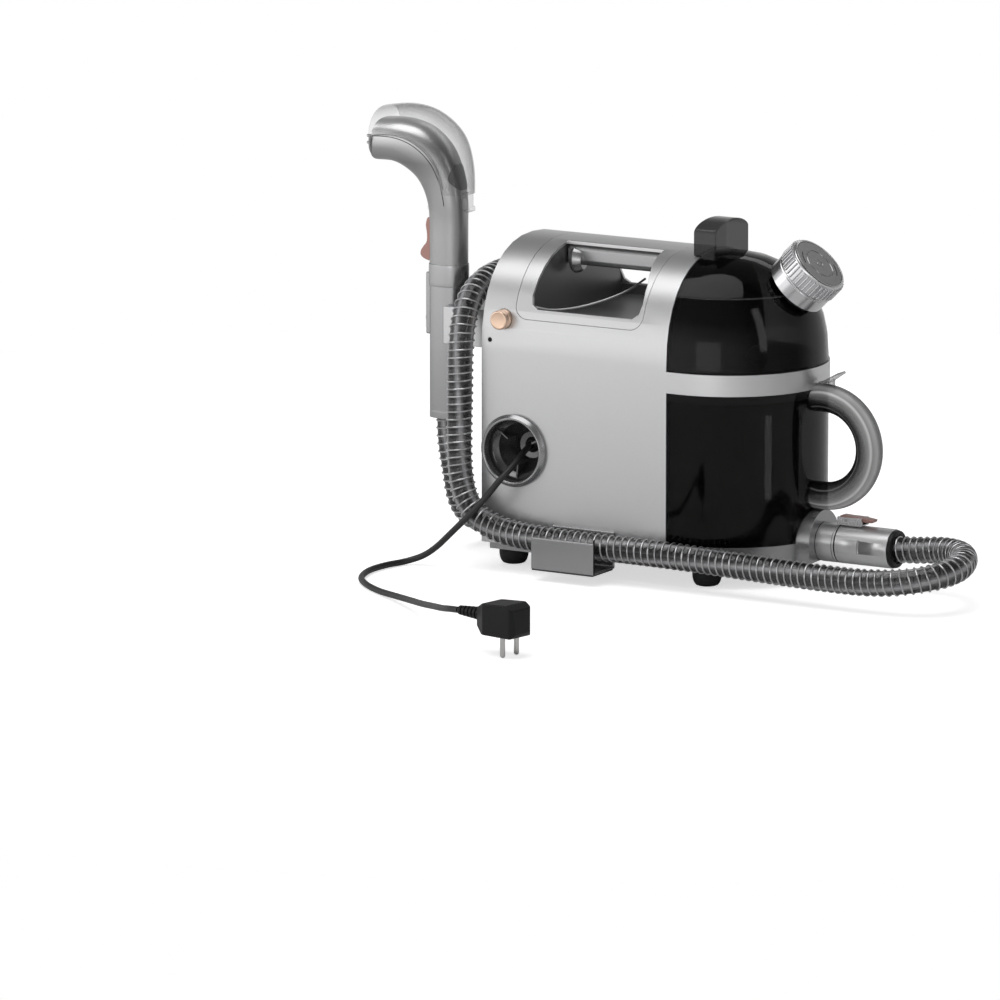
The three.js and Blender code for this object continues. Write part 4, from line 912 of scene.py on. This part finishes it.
handle = swept("jug_loop", loop_path, 40, handle_radius)
loop_plastic = Finish("clear handle with painted light", (0.1, 0.1, 0.1), 0.1, IOR=1.45)
centred = loop_plastic.node(
    "ShaderNodeMapping", Vector=loop_plastic.place(), Location=(-HANDLE_MIDDLE.x, 0, -HANDLE_MIDDLE.z),
    Scale=(1, 0, 1),
)
outward = loop_plastic.node("ShaderNodeVectorMath", {"operation": "LENGTH"}, output=1, Vector=centred)
tone = loop_plastic.node("ShaderNodeMapRange", From_Min=0.034, From_Max=0.060, Value=outward)
# The ramp paints shade on the inner face and highlights along the outer rim, by distance from the middle.
loop_painted_light = loop_plastic.ramp(
    tone, (0.0, 0.004), (0.2, 0.008), (0.24, 0.16), (0.29, 0.008), (0.46, 0.02), (0.6, 0.14), (0.7, 0.3),
    (0.77, 0.85), (0.82, 0.28), (0.93, 0.5), (1.0, 0.1),
)
loop_facing = loop_plastic.node("ShaderNodeLayerWeight", output=1, Blend=0.35)
loop_plastic.surface(
    Base_Color=loop_painted_light, Roughness=tone * 0.2 + 0.06, Alpha=loop_facing * 0.25 - tone * 0.2 + 0.84,
)
loop_plastic.on(handle, slot="clear")
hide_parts("jug_handle")
lever_clear = clear_plastic("clear lever", (0.04, 0.04, 0.04), 0.05, 0.35, 0.96)
lever = lever_clear.on(moulded("jug_lever", "jug_thumb_lever", 0.5, 2), slot="clear")
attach(handle, "dirty_jug")
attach(lever, "thumb_lever")

# %% [markdown]
# ## The hand tool
# The tool is one long oval shape that rises from the dock and bends over into a wide, flat mouth. A
# lofted skin suits it: oval rings at chosen stations, with rings between them on a smooth line. Each
# station gives the ring's centre, the way the shape runs there, and its half height and half width.

# %% Loft ovals into a closed skin
GRIP_LOW, GRIP_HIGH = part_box("wand_grip")
WAND = Vector(((GRIP_LOW.x + GRIP_HIGH.x) / 2, (GRIP_LOW.y + GRIP_HIGH.y) / 2, 0))
HALF_X = (GRIP_HIGH.x - GRIP_LOW.x) / 2 / MM
HALF_Y = (GRIP_HIGH.y - GRIP_LOW.y) / 2 / MM
SQUARENESS = 2.5


def by_wand(x, y, z):
    return WAND + Vector((x, y, z)) * MM


def between(stations, share):
    """A station part of the way along the list, on a smooth line through all of them."""
    spans = len(stations) - 1
    i = min(int(share * spans), spans - 1)
    t = share * spans - i
    rows = [stations[max(0, min(spans, i + k))] for k in (-1, 0, 1, 2)]
    return [
        0.5 * (2 * b + (c - a) * t + (2 * a - 5 * b + 4 * c - d) * t * t + (3 * b - a - 3 * c + d) * t ** 3)
        for a, b, c, d in zip(*rows)
    ]


def tilted(station, across, up):
    """A point of a station's ring, across it and up it from its centre."""
    x, z, heading = station[:3]
    turn = math.radians(heading)
    return by_wand(x - math.sin(turn) * up, across, z + math.cos(turn) * up)


def on_oval(station, angle):
    """The point at an angle round a station's squared oval."""
    half_high, half_wide = station[3:]
    c, s = math.cos(angle), math.sin(angle)
    across = half_wide * math.copysign(abs(c) ** (2 / SQUARENESS), c)
    return tilted(station, across, half_high * math.copysign(abs(s) ** (2 / SQUARENESS), s))


def lofted(name, stations, rings=48, sides=48):
    vertices = []
    for ring in range(rings + 1):
        station = between(stations, ring / rings)
        vertices += [on_oval(station, math.tau * k / sides) for k in range(sides)]
    return in_edit(tube(name, vertices, sides), turned_outwards)


def cut_away(piece, *tools):
    """Takes the tools' shapes out of the piece, and removes them."""
    for tool in tools:
        applied(piece, "BOOLEAN", operation="DIFFERENCE", solver="EXACT", object=tool)
        bpy.data.objects.remove(tool)
    return piece


# %% Tool head
SEAM_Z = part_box("wand_head")[0].z / MM
HEAD_STATIONS = [
    (0, SEAM_Z, 90, HALF_X, HALF_Y), (0, SEAM_Z + 20, 90, HALF_X, HALF_Y), (0, 318, 90, HALF_X, HALF_Y),
    (-1, 338, 95, 19, 16.5), (-6, 358, 110, 20.5, 18), (-15, 375, 128, 22.5, 20.5), (-31, 388, 148, 23, 23),
    (-50, 394, 164, 21.5, 25), (-72, 394, 174, 20.5, 26),
]
head = lofted("tool_head", HEAD_STATIONS, 64)
mouth = block("mouth_cutter", by_wand(-90, -21, 381), by_wand(-58, 21, 407), 3.5, 3)
slot_cutter = block("slot_cutter", by_wand(-40, -6.4, 278), by_wand(9 - HALF_X, 6.4, 326), 1.0, 2)
cut_away(head, mouth, slot_cutter)
softened(head, 0.0008, 2, ROUND_ANGLE)
head_paint = metallic_paint("tool head paint", (0.36, 0.36, 0.365), 0.32, metallic=0.85)
rise = head_paint.node("ShaderNodeSeparateXYZ", output=2, Vector=head_paint.place())
rise = head_paint.node("ShaderNodeMapRange", From_Min=0.36, From_Max=0.412, Value=rise)
# The head's colour is painted darker just above the neck and lighter towards its top: painted shade and
# highlight by height.
head_painted_light = head_paint.ramp(rise, (0.0, 0.36), (0.3, 0.26), (0.6, 0.45), (1.0, 0.85))
head_paint.surface(Base_Color=head_painted_light)
head_paint.on(head, slot="satin_dark")
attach(head, "hand_tool")
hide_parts("wand_head")

# %% [markdown]
# A fine dark line runs along the head where its two halves meet, a quarter of the way below its middle.

# %% Seam of the head
SEAM_DROP = 0.25
SEAM_RADIUS = 0.00035
seam_line = []
for i in range(41):
    station = between(HEAD_STATIONS, 0.36 + 0.63 * i / 40)
    across = -station[4] * (1 - SEAM_DROP ** SQUARENESS) ** (1 / SQUARENESS)
    seam_line.append(tilted(station, across, -station[3] * SEAM_DROP))
seam = swept("head_seam", seam_line, 8, SEAM_RADIUS)
black_plastic.on(seam, slot="black")
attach(seam, "hand_tool")

# %% [markdown]
# The clear cover is a thin shell over the outer half of the head, from the mouth to the latch. It is
# lofted as half rings, cut level at the latch, and given its wall by Solidify. Its side rims follow the
# head and catch the light as thin beads.

# %% Clear cover
COVER_STATIONS = [
    (3.5, 336, 94, 19.5, 17.5), (3.5, 345, 96, 21, 18.5), (-1, 368, 112, 25, 21.2),
    (-11, 386, 129, 28.5, 24.4), (-29, 398, 149, 29, 26.6),
    (-49, 402, 165, 27.5, 28.3), (-72, 400, 175, 25.5, 28.9),
]


def half_ring(stations, share, sides, first=180.0, last=360.0):
    station = between(stations, share)
    return [on_oval(station, math.radians(first + (last - first) * k / sides)) for k in range(sides + 1)]


def open_shell(name, rings):
    sides = len(rings[0])
    faces = [
        (r * sides + k, r * sides + k + 1, (r + 1) * sides + k + 1, (r + 1) * sides + k)
        for r in range(len(rings) - 1) for k in range(sides - 1)
    ]
    return in_edit(drawn(name, [spot for ring in rings for spot in ring], faces=faces), turned_outwards)


COVER_WALL = 0.001
RIM_RADIUS = 0.0006
COVER_RINGS = 56
COVER_SIDES = 40
LATCH_Z = 347
cover = open_shell("nozzle_shield", [
    half_ring(COVER_STATIONS, i / COVER_RINGS, COVER_SIDES) for i in range(COVER_RINGS + 1)
])


def level_at_the_latch():
    bpy.ops.mesh.select_all(action="SELECT")
    bpy.ops.mesh.bisect(plane_co=by_wand(0, 0, LATCH_Z), plane_no=(0, 0, -1), clear_outer=True)


in_edit(cover, level_at_the_latch)
applied(cover, "SOLIDIFY", thickness=COVER_WALL, offset=0.0, use_even_offset=True)
smoothed(cover, ROUND_ANGLE)
clear_case.on(cover, slot="clear")
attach(cover, "hand_tool")
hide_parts("nozzle_cover")
rim_metal = Finish("bright clear rim", (0.35, 0.35, 0.355), 0.12, Metallic=0.5)
rim_metal.surface(Roughness=rim_metal.noise(80.0) * 0.1 + 0.1)
for k, name in ((0, "shield_rim_far"), (COVER_SIDES, "shield_rim_near")):
    shares = [0.22 + 0.78 * i / COVER_RINGS for i in range(COVER_RINGS + 1)]
    rim_line = [half_ring(COVER_STATIONS, share, COVER_SIDES)[k] for share in shares]
    rim = swept(name, rim_line, 8, RIM_RADIUS)
    rim_metal.on(rim, slot="clear")
    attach(rim, "hand_tool")

# %% [markdown]
# A dark lens-shaped patch lies on the outer bend of the head, painted shade where the gap under the cover
# looks dark: part rings that widen and narrow again.

# %% Painted shade patch
SHADE_PATCH_RINGS = 20
SHADE_PATCH_SPREAD = 52
SHADE_PATCH_RISE = 0.35
SHADE_PATCH_WALL = 0.0006
raised = [(*station[:3], station[3] + SHADE_PATCH_RISE, station[4] + SHADE_PATCH_RISE) for station in HEAD_STATIONS]
shade_patch_rings = []
for i in range(SHADE_PATCH_RINGS + 1):
    spread = SHADE_PATCH_SPREAD * math.sin(math.pi * (0.08 + 0.84 * i / SHADE_PATCH_RINGS))
    share = 0.43 + 0.12 * i / SHADE_PATCH_RINGS
    shade_patch_rings.append(half_ring(raised, share, 24, 270 - spread, 270 + spread))
shade_patch = open_shell("head_painted_shade", shade_patch_rings)
applied(shade_patch, "SOLIDIFY", thickness=SHADE_PATCH_WALL, offset=0.0)
smoothed(shade_patch, ROUND_ANGLE)
shade_patch_paint = metallic_paint("painted shade patch", (0.11, 0.11, 0.112), 0.35, metallic=0.5)
shade_patch_paint.on(shade_patch, slot="black")
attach(shade_patch, "hand_tool")

# %% [markdown]
# A bead runs round the cover's mouth, and four spray prongs stand out under it, two on each side.

# %% Mouth bead and spray prongs
BEAD_INSET = 0.97
BEAD_RADIUS = 0.0011
x, z, heading, half_high, half_wide = COVER_STATIONS[-1]
mouth_station = (x + 1, z, heading, half_high * BEAD_INSET, half_wide * BEAD_INSET)
bead = swept("mouth_bead", [on_oval(mouth_station, math.pi * k / 24) for k in range(25)], 10, BEAD_RADIUS)
rim_metal.on(bead, slot="clear")
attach(bead, "hand_tool")
JET_LOW, JET_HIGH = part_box("spray_jet")
jet = gunmetal.on(moulded("spray_jet", "spray_bar", 0.5, 2), slot="black")
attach(jet, "hand_tool")
for i, (y, z) in enumerate(((-9, 0.0), (9, 0.0), (-9, -6.5), (9, -6.5))):
    prong = spun(
        f"spray_prong_{i + 1}", [(0, 0), (1.7, 0), (1.7, 6), (1.3, 8.6), (0.7, 9.2), (0, 9.2)],
        Vector((JET_LOW.x + 0.0095, WAND.y + y * MM, JET_HIGH.z + (z - 1.5) * MM)), (-1, 0, 0.08), 24, 0.15,
    )
    gunmetal.on(prong, slot="steel")
    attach(prong, "hand_tool")

# %% [markdown]
# The latch is a small clear block at the foot of the cover.

# %% Latch of the cover
latch = clear_case.on(moulded("cover_latch", "shield_latch", 1.0, 3), slot="clear")
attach(latch, "hand_tool")

# %% [markdown]
# Below the seam the tool is a straight oval grip. The hose goes into its lower end, and a raised strip
# on its outer side carries the trigger above and the button below.

# %% Grip
GRIP_STATIONS = [
    (0, GRIP_LOW.z / MM, 90, HALF_X - 1.2, HALF_Y - 1.2), (0, GRIP_LOW.z / MM + 3, 90, HALF_X, HALF_Y),
    (0, GRIP_LOW.z / MM + 6, 90, HALF_X, HALF_Y), (0, GRIP_HIGH.z / MM - 4, 90, HALF_X, HALF_Y),
    (0, GRIP_HIGH.z / MM, 90, HALF_X, HALF_Y),
]
grip_tube = lofted("tool_grip", GRIP_STATIONS, 40)
SOCKET_RADIUS = 14.2
socket_cutter = spun(
    "socket_cutter", [(0, -2), (SOCKET_RADIUS, -2), (SOCKET_RADIUS, 40), (0, 40)],
    WAND + Vector((0, 0, GRIP_LOW.z)), steps=48,
)
cut_away(grip_tube, socket_cutter)
softened(grip_tube, 0.0006, 2, ROUND_ANGLE)
gunmetal.on(grip_tube, slot="satin_dark")
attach(grip_tube, "hand_tool")
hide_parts("wand_grip")

# %% Raised strip, seam collar and trigger
strip = block("grip_strip", by_wand(-HALF_X - 1.6, -10.5, 210), by_wand(-HALF_X + 4, 10.5, 270), 1.5)
KEY_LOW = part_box("wand_button")[0]
key_centre = middle_of("wand_button")
key_hole = spun(
    "key_cutter", [(0, -10), (7.4, -10), (7.4, 20), (0, 20)],
    Vector((KEY_LOW.x - 0.002, key_centre.y, key_centre.z)), (1, 0, 0), 40,
)
cut_away(strip, key_hole)
smoothed(strip, ROUND_ANGLE)
seam_ring = lofted(
    "grip_collar",
    [(0, 258, 90, HALF_X + 0.2, HALF_Y + 0.2), (0, 259, 90, HALF_X + 0.7, HALF_Y + 0.7),
     (0, 277, 90, HALF_X + 0.7, HALF_Y + 0.7), (0, 278, 90, HALF_X + 0.2, HALF_Y + 0.2)], 12,
)
softened(seam_ring, 0.0003, 2, ROUND_ANGLE)
gunmetal.on(strip, seam_ring, slot="satin_dark")
TRIGGER_LOW, TRIGGER_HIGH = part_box("wand_trigger")
trigger_outline = [(TRIGGER_HIGH.x, TRIGGER_LOW.z + 0.002), (TRIGGER_HIGH.x, TRIGGER_HIGH.z - 0.001)]
waist = smooth_path([Vector((reach, 0, share)) for share, reach in (
    (0.01, 0.30), (0.05, 0.50), (0.2, 0.60), (0.4, 0.52), (0.56, 0.54), (0.68, 0.78), (0.78, 0.97),
    (0.86, 1.0), (0.93, 0.86), (0.98, 0.55), (1.0, 0.3),
)], 4)
for spot in waist:
    trigger_outline.append((
        TRIGGER_HIGH.x + (TRIGGER_LOW.x - TRIGGER_HIGH.x) * spot.x,
        TRIGGER_HIGH.z + (TRIGGER_LOW.z - TRIGGER_HIGH.z) * spot.z,
    ))
trigger = plate("spray_lever", trigger_outline, TRIGGER_LOW.y, TRIGGER_HIGH.y, 1.8, 4)
rose_gold.on(trigger, slot="rose")
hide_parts("wand_trigger")
trigger_axle = steel.on(moulded("trigger_pin", "trigger_axle", 0.2, 2), slot="steel")
key = spun(
    "tool_key_button", [(0, 0), (3.6, 0.25), (5.6, 1.0), (6.7, 2.4), (7.0, 4.0), (7.0, 9.0), (0, 9.0)],
    Vector((KEY_LOW.x, key_centre.y, key_centre.z)), (1, 0, 0), 48,
)
rose_gold.on(key, slot="rose")
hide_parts("wand_button")
for piece in (strip, seam_ring, trigger_axle):
    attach(piece, "hand_tool")
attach(trigger, "spray_trigger")
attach(key, "tool_key")

# %% [markdown]
# A small clear ring guards the trigger's top.

# %% Trigger ring
ring = swept(
    "trigger_ring",
    [by_wand(-HALF_X - 1.5 - 3 * math.cos(a), 0, 331 + 3.4 * math.sin(a))
     for a in [math.tau * k / 32 for k in range(33)]],
    10, 0.0007,
)
clear_case.on(ring, slot="clear")
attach(ring, "hand_tool")

# %% [markdown]
# ## Dock, hook and clip
# The dock is a silver channel on the machine's left end. A dark hook above it carries the hose, and a
# J of sheet metal on the front holds the hose's long run.

# %% Dock, hook and clip
dock = silver.on(moulded("dock_bracket", "tool_dock", 1.0, 3), slot="satin_silver")
hook = graphite_plastic.on(moulded("hose_hook", "hose_rest", 1.0, 3), slot="graphite")
CLIP_LOW, CLIP_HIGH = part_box("hose_clip")
clip = dark_silver.on(moulded("hose_clip", "hose_holder", 1.4, 4), slot="satin_silver")
lip_low = Vector((CLIP_LOW.x + 0.0006, CLIP_LOW.y + 0.0004, CLIP_LOW.z - 0.0012))
clip_sole = block(
    "holder_sole", lip_low, (CLIP_HIGH.x - 0.0006, CLIP_HIGH.y - 0.003, CLIP_LOW.z + 0.0002), 0.5, 2,
)
graphite_plastic.on(clip_sole, slot="graphite")
clip_edge = block(
    "holder_edge", (CLIP_HIGH.x - 0.0006, CLIP_LOW.y + 0.0006, CLIP_LOW.z + 0.0008),
    (CLIP_HIGH.x + 0.0004, CLIP_LOW.y + 0.0026, CLIP_HIGH.z - 0.0012), 0.3, 2,
)
black_plastic.on(clip_edge, slot="graphite")
for piece in (dock, hook, clip, clip_sole, clip_edge):
    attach(piece, "machine")

# %% [markdown]
# ## The hose coupling
# A satin sleeve slides over the inlet. It has a black seam ring near its root, a short slot, a black
# end ring where the hose goes in, and a rose paddle on a bright block that releases it.

# %% Coupling sleeve
coupling_root = Vector((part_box("hose_coupling")[0].x, JUG_AXIS.y, middle_of("hose_coupling").z))
ALONG = (1, 0, 0)
sleeve = spun(
    "coupling_sleeve",
    [(13.8, 0), (18.3, 0), (18.7, 0.4), (18.7, 2.0), (18.1, 2.3), (18.1, 3.3), (18.7, 3.6), (18.7, 57.9),
     (18.2, 58.6), (13.8, 58.6), (13.8, 0)],
    coupling_root, ALONG, 96, 0.15,
)
sleeve_slot = block(
    "sleeve_slot_cutter", coupling_root + Vector((0.027, -0.03, -0.005)),
    coupling_root + Vector((0.0292, -0.0165, 0.008)), 0.3, 2,
)
cut_away(sleeve, sleeve_slot)
smoothed(sleeve, ROUND_ANGLE)
silver.on(sleeve, slot="satin_silver")
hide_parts("hose_coupling")
seam_band = spun(
    "coupling_seam", [(17.2, 2.1), (18.35, 2.1), (18.35, 3.5), (17.2, 3.5), (17.2, 2.1)],
    coupling_root, ALONG, 96,
)
end_ring = spun(
    "coupling_cuff",
    [(13.8, 0), (18.0, 0), (18.2, 0.5), (17.6, 3.0), (16.4, 3.6), (13.8, 3.6), (13.8, 0)],
    Vector((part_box("coupling_ring")[0].x, coupling_root.y, coupling_root.z)), ALONG, 80, 0.2,
)
black_plastic.on(seam_band, end_ring, slot="black")
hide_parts("coupling_ring")
inlet = silver.on(moulded("inlet_pipe", "inlet_spigot", 0.4, 2), slot="satin_silver")
latch_block = bright_silver.on(moulded("paddle_bracket", "release_block", 0.5, 3), slot="satin_silver")
latch_axle = steel.on(moulded("paddle_pin", "release_axle", 0.15, 2), slot="steel")
paddle = rose_gold.on(moulded("release_paddle", "release_lever", 0.8, 3), slot="rose")
for piece in (sleeve, seam_band, end_ring, inlet, latch_block, latch_axle):
    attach(piece, "machine")
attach(paddle, "hose_release")

# %% [markdown]
# ## Feet, inner works and fasteners
# The feet are turned rubber pads. The inner works show only faintly, so they keep the frame's shapes
# with rounded edges and plain finishes.

# %% Feet
for name in ("foot_front_left", "foot_back_left", "foot_front_right", "foot_back_right"):
    middle = middle_of(name)
    pad = spun(
        name + "_pad",
        [(0, 0), (8.6, 0), (10.8, 0.8), (12.6, 3.4), (13.7, 7.0), (14.0, 10.0), (14.0, 15.5), (0, 15.5)],
        Vector((middle.x, middle.y, 0)), (0, 0, 1), 48, 0.3,
    )
    rubber.on(pad, slot="rubber")
    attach(pad, "machine")
    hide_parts(name)

# %% [markdown]
# Each inner piece is a softened copy of its node: the table gives its slot, its finish and its body.

# %% Inner works
INNER = {
    "bulkhead": ("black", black_plastic, "machine"), "motor_housing": ("black", black_plastic, "machine"),
    "suction_duct": ("black", black_plastic, "machine"), "water_pump": ("black", black_plastic, "machine"),
    "water_line": ("clear", frosted, "machine"), "circuit_board": ("board", board_green, "machine"),
    "suction_fan": ("steel", steel, "fan"), "reel_drum": ("black", black_plastic, "cord_reel"),
    "cord_winding": ("cord", rubber, "cord_reel"), "tank_valve": ("graphite", graphite_plastic, "clean_tank"),
    "cap_seal": ("seal", rubber, "tank_cap"),
}
for node, (slot, finish, body) in INNER.items():
    piece = finish.on(moulded(node, node + "_piece", 0.4, 2), slot=slot)
    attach(piece, body)

# %% [markdown]
# ## The plug
# A moulded two-pin plug stands on its pins. Its body is a rounded block, and a ribbed sleeve guards the
# lead where it goes in.

# %% Plug body
plug_body = black_plastic.on(moulded("plug_body", "plug_block", 3.2, 4, 25), slot="black")
PLUG_HEADING = math.radians(-11)
lead_way = Vector((math.cos(PLUG_HEADING), math.sin(PLUG_HEADING), 0))
SLEEVE_START = 0.0252
plug_middle = middle_of("plug_body")
relief_root = Vector((plug_middle.x, plug_middle.y, middle_of("plug_relief").z)) - lead_way * SLEEVE_START
sleeve_outline = [(3.2, 0.0), (6.2, 0.0)]
for i in range(5):
    start = 1.6 + 4.7 * i
    wide = 6.2 - 0.35 * i
    sleeve_outline += [
        (wide, start), (wide - 1.5, start + 0.4), (wide - 1.5, start + 1.7), (wide - 0.3, start + 2.1),
    ]
sleeve_outline += [(4.3, 25.4), (3.6, 26.4), (3.2, 26.4), (3.2, 0.0)]
relief = spun("plug_sleeve", sleeve_outline, relief_root, -lead_way, 40, 0.15)
black_plastic.on(relief, slot="black")
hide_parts("plug_relief")
pins = []
for side in ("near", "far"):
    tip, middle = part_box("plug_pin_" + side)[0], middle_of("plug_pin_" + side)
    pin = spun(
        f"contact_pin_{side}", [(0, 0), (1.3, 0.15), (2.1, 0.9), (2.4, 2.2), (2.4, 18.7), (0, 18.7)],
        Vector((middle.x, middle.y, tip.z)), (0, 0, 1), 32,
    )
    pin_metal.on(pin, slot="pin_metal")
    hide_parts("plug_pin_" + side)
    pins.append(pin)
for piece in (plug_body, relief, *pins):
    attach(piece, "machine")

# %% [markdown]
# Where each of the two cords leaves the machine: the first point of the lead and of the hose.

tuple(CORD_POINTS[0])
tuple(HOSE_POINTS[0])

# %% [markdown]
# ## Floor and light
# A pale floor that runs off to white. The camera sees it glow; other rays see a plain matt floor, so
# that it sends up no more light than paper does.

# %% Floor
clear()
bpy.ops.mesh.primitive_circle_add(vertices=96, radius=1.3, fill_type="NGON", location=(0, 0, -0.0004))
floor = named(bpy.context.object, "floor")
pale = Finish("pale floor", (0.9, 0.9, 0.9), 0.6, Emission_Color=(1, 1, 1, 1), Emission_Strength=0.62)
grain = pale.noise(3.0, 2.0)
pale.surface(Roughness=grain * 0.1 + 0.55).on(floor)
dim = pale.node("ShaderNodeBsdfDiffuse", Color=(0.8, 0.8, 0.8))
sight = pale.node("ShaderNodeLightPath")
both = pale.tree.nodes.new("ShaderNodeMixShader")
pale.tree.links.new(sight.socket, both.inputs[0])
pale.tree.links.new(dim.socket, both.inputs[1])
pale.tree.links.new(pale.shader.outputs[0], both.inputs[2])
pale.tree.links.new(both.outputs[0], pale.tree.nodes["Material Output"].inputs[0])

# %% [markdown]
# Shiny pieces mirror the room, so the room is drawn as brightness by height times brightness by
# compass: bright near the horizon in front and to the left, dark to the right and overhead. The camera
# itself sees white.

# %% The room
world = bpy.data.worlds.new("studio")
bpy.context.scene.world = world
world.use_nodes = True
nodes, links = world.node_tree.nodes, world.node_tree.links
ROOM_HEIGHT = ((0.0, 0.35), (0.36, 0.6), (0.41, 0.95), (0.56, 0.85), (0.64, 0.55), (0.74, 0.22), (1.0, 0.16))
ROOM_COMPASS = (
    (0.0, 0.5), (0.2, 0.55), (0.33, 0.9), (0.417, 1.0), (0.5, 0.9), (0.6, 0.62), (0.68, 0.2), (0.82, 0.1),
    (0.9, 0.5), (1.0, 0.5),
)


def world_node(kind, *feeds, **settings):
    made = nodes.new(kind)
    for key, value in settings.items():
        setattr(made, key, value)
    for entry, value in enumerate(feeds):
        if hasattr(value, "is_linked"):
            links.new(value, made.inputs[entry])
        elif value is not None:
            made.inputs[entry].default_value = value
    return made


def shades(socket, stops):
    ramp = world_node("ShaderNodeValToRGB", socket)
    for i, (spot, shade) in enumerate(stops):
        stop = ramp.color_ramp.elements[i] if i < 2 else ramp.color_ramp.elements.new(spot)
        stop.position = spot
        stop.color = (shade, shade, shade, 1)
    return ramp.outputs[0]


sky = world_node("ShaderNodeTexCoord").outputs["Generated"]
split = world_node("ShaderNodeSeparateXYZ", sky)
height = world_node("ShaderNodeMath", split.outputs[2], 0.5, 0.5, operation="MULTIPLY_ADD")
behind = world_node("ShaderNodeMath", split.outputs[1], -1.0, operation="MULTIPLY")
turn = world_node("ShaderNodeMath", split.outputs[0], behind.outputs[0], operation="ARCTAN2")
compass = world_node("ShaderNodeMath", turn.outputs[0], 0.5 / math.pi, 0.5, operation="MULTIPLY_ADD")
shade = world_node(
    "ShaderNodeMath", shades(height.outputs[0], ROOM_HEIGHT), shades(compass.outputs[0], ROOM_COMPASS),
    operation="MULTIPLY",
)
room = world_node("ShaderNodeBackground", shade.outputs[0], 1.5)
backdrop = nodes["Background"]
backdrop.inputs[0].default_value = (1, 1, 1, 1)
backdrop.inputs[1].default_value = 1.0
seen = world_node("ShaderNodeLightPath")
choose = world_node(
    "ShaderNodeMixShader", seen.outputs["Is Camera Ray"], room.outputs[0], backdrop.outputs[0],
)
links.new(choose.outputs[0], nodes["World Output"].inputs[0])


# %% [markdown]
# Two soft panels light the front, one the right, a long strip behind edges the arch, and a very wide
# sun overhead softens the shadows.

# %% Lamps
def panel(name, place, aim, width, height, power):
    light = bpy.data.lights.new(name, "AREA")
    light.shape = "RECTANGLE"
    light.size, light.size_y = width, height
    light.energy = power
    lamp = linked(name, light)
    lamp.location = place
    lamp.rotation_euler = (Vector(place) - Vector(aim)).to_track_quat("Z", "Y").to_euler()


middle = at(-60, 0, 150)
panel("key_left", middle + Vector((-1.5, -1.3, 0.75)), middle, 0.7, 1.1, 3.5)
panel("key_front", middle + Vector((0.35, -2.6, 0.2)), middle, 1.3, 0.7, 3)
panel("fill_right", middle + Vector((1.9, -0.7, 0.9)), middle, 0.35, 1.6, 4)
panel("strip_behind", middle + Vector((0.2, 1.6, 1.3)), middle, 2.4, 0.3, 2.5)
sun = bpy.data.lights.new("sun_above", "SUN")
sun.energy = 1.3
sun.angle = math.radians(50)
sun_lamp = linked("sun_above", sun)
sun_lamp.rotation_euler = (math.radians(12), math.radians(-8), 0)
bpy.context.scene.view_settings.view_transform = "Standard"
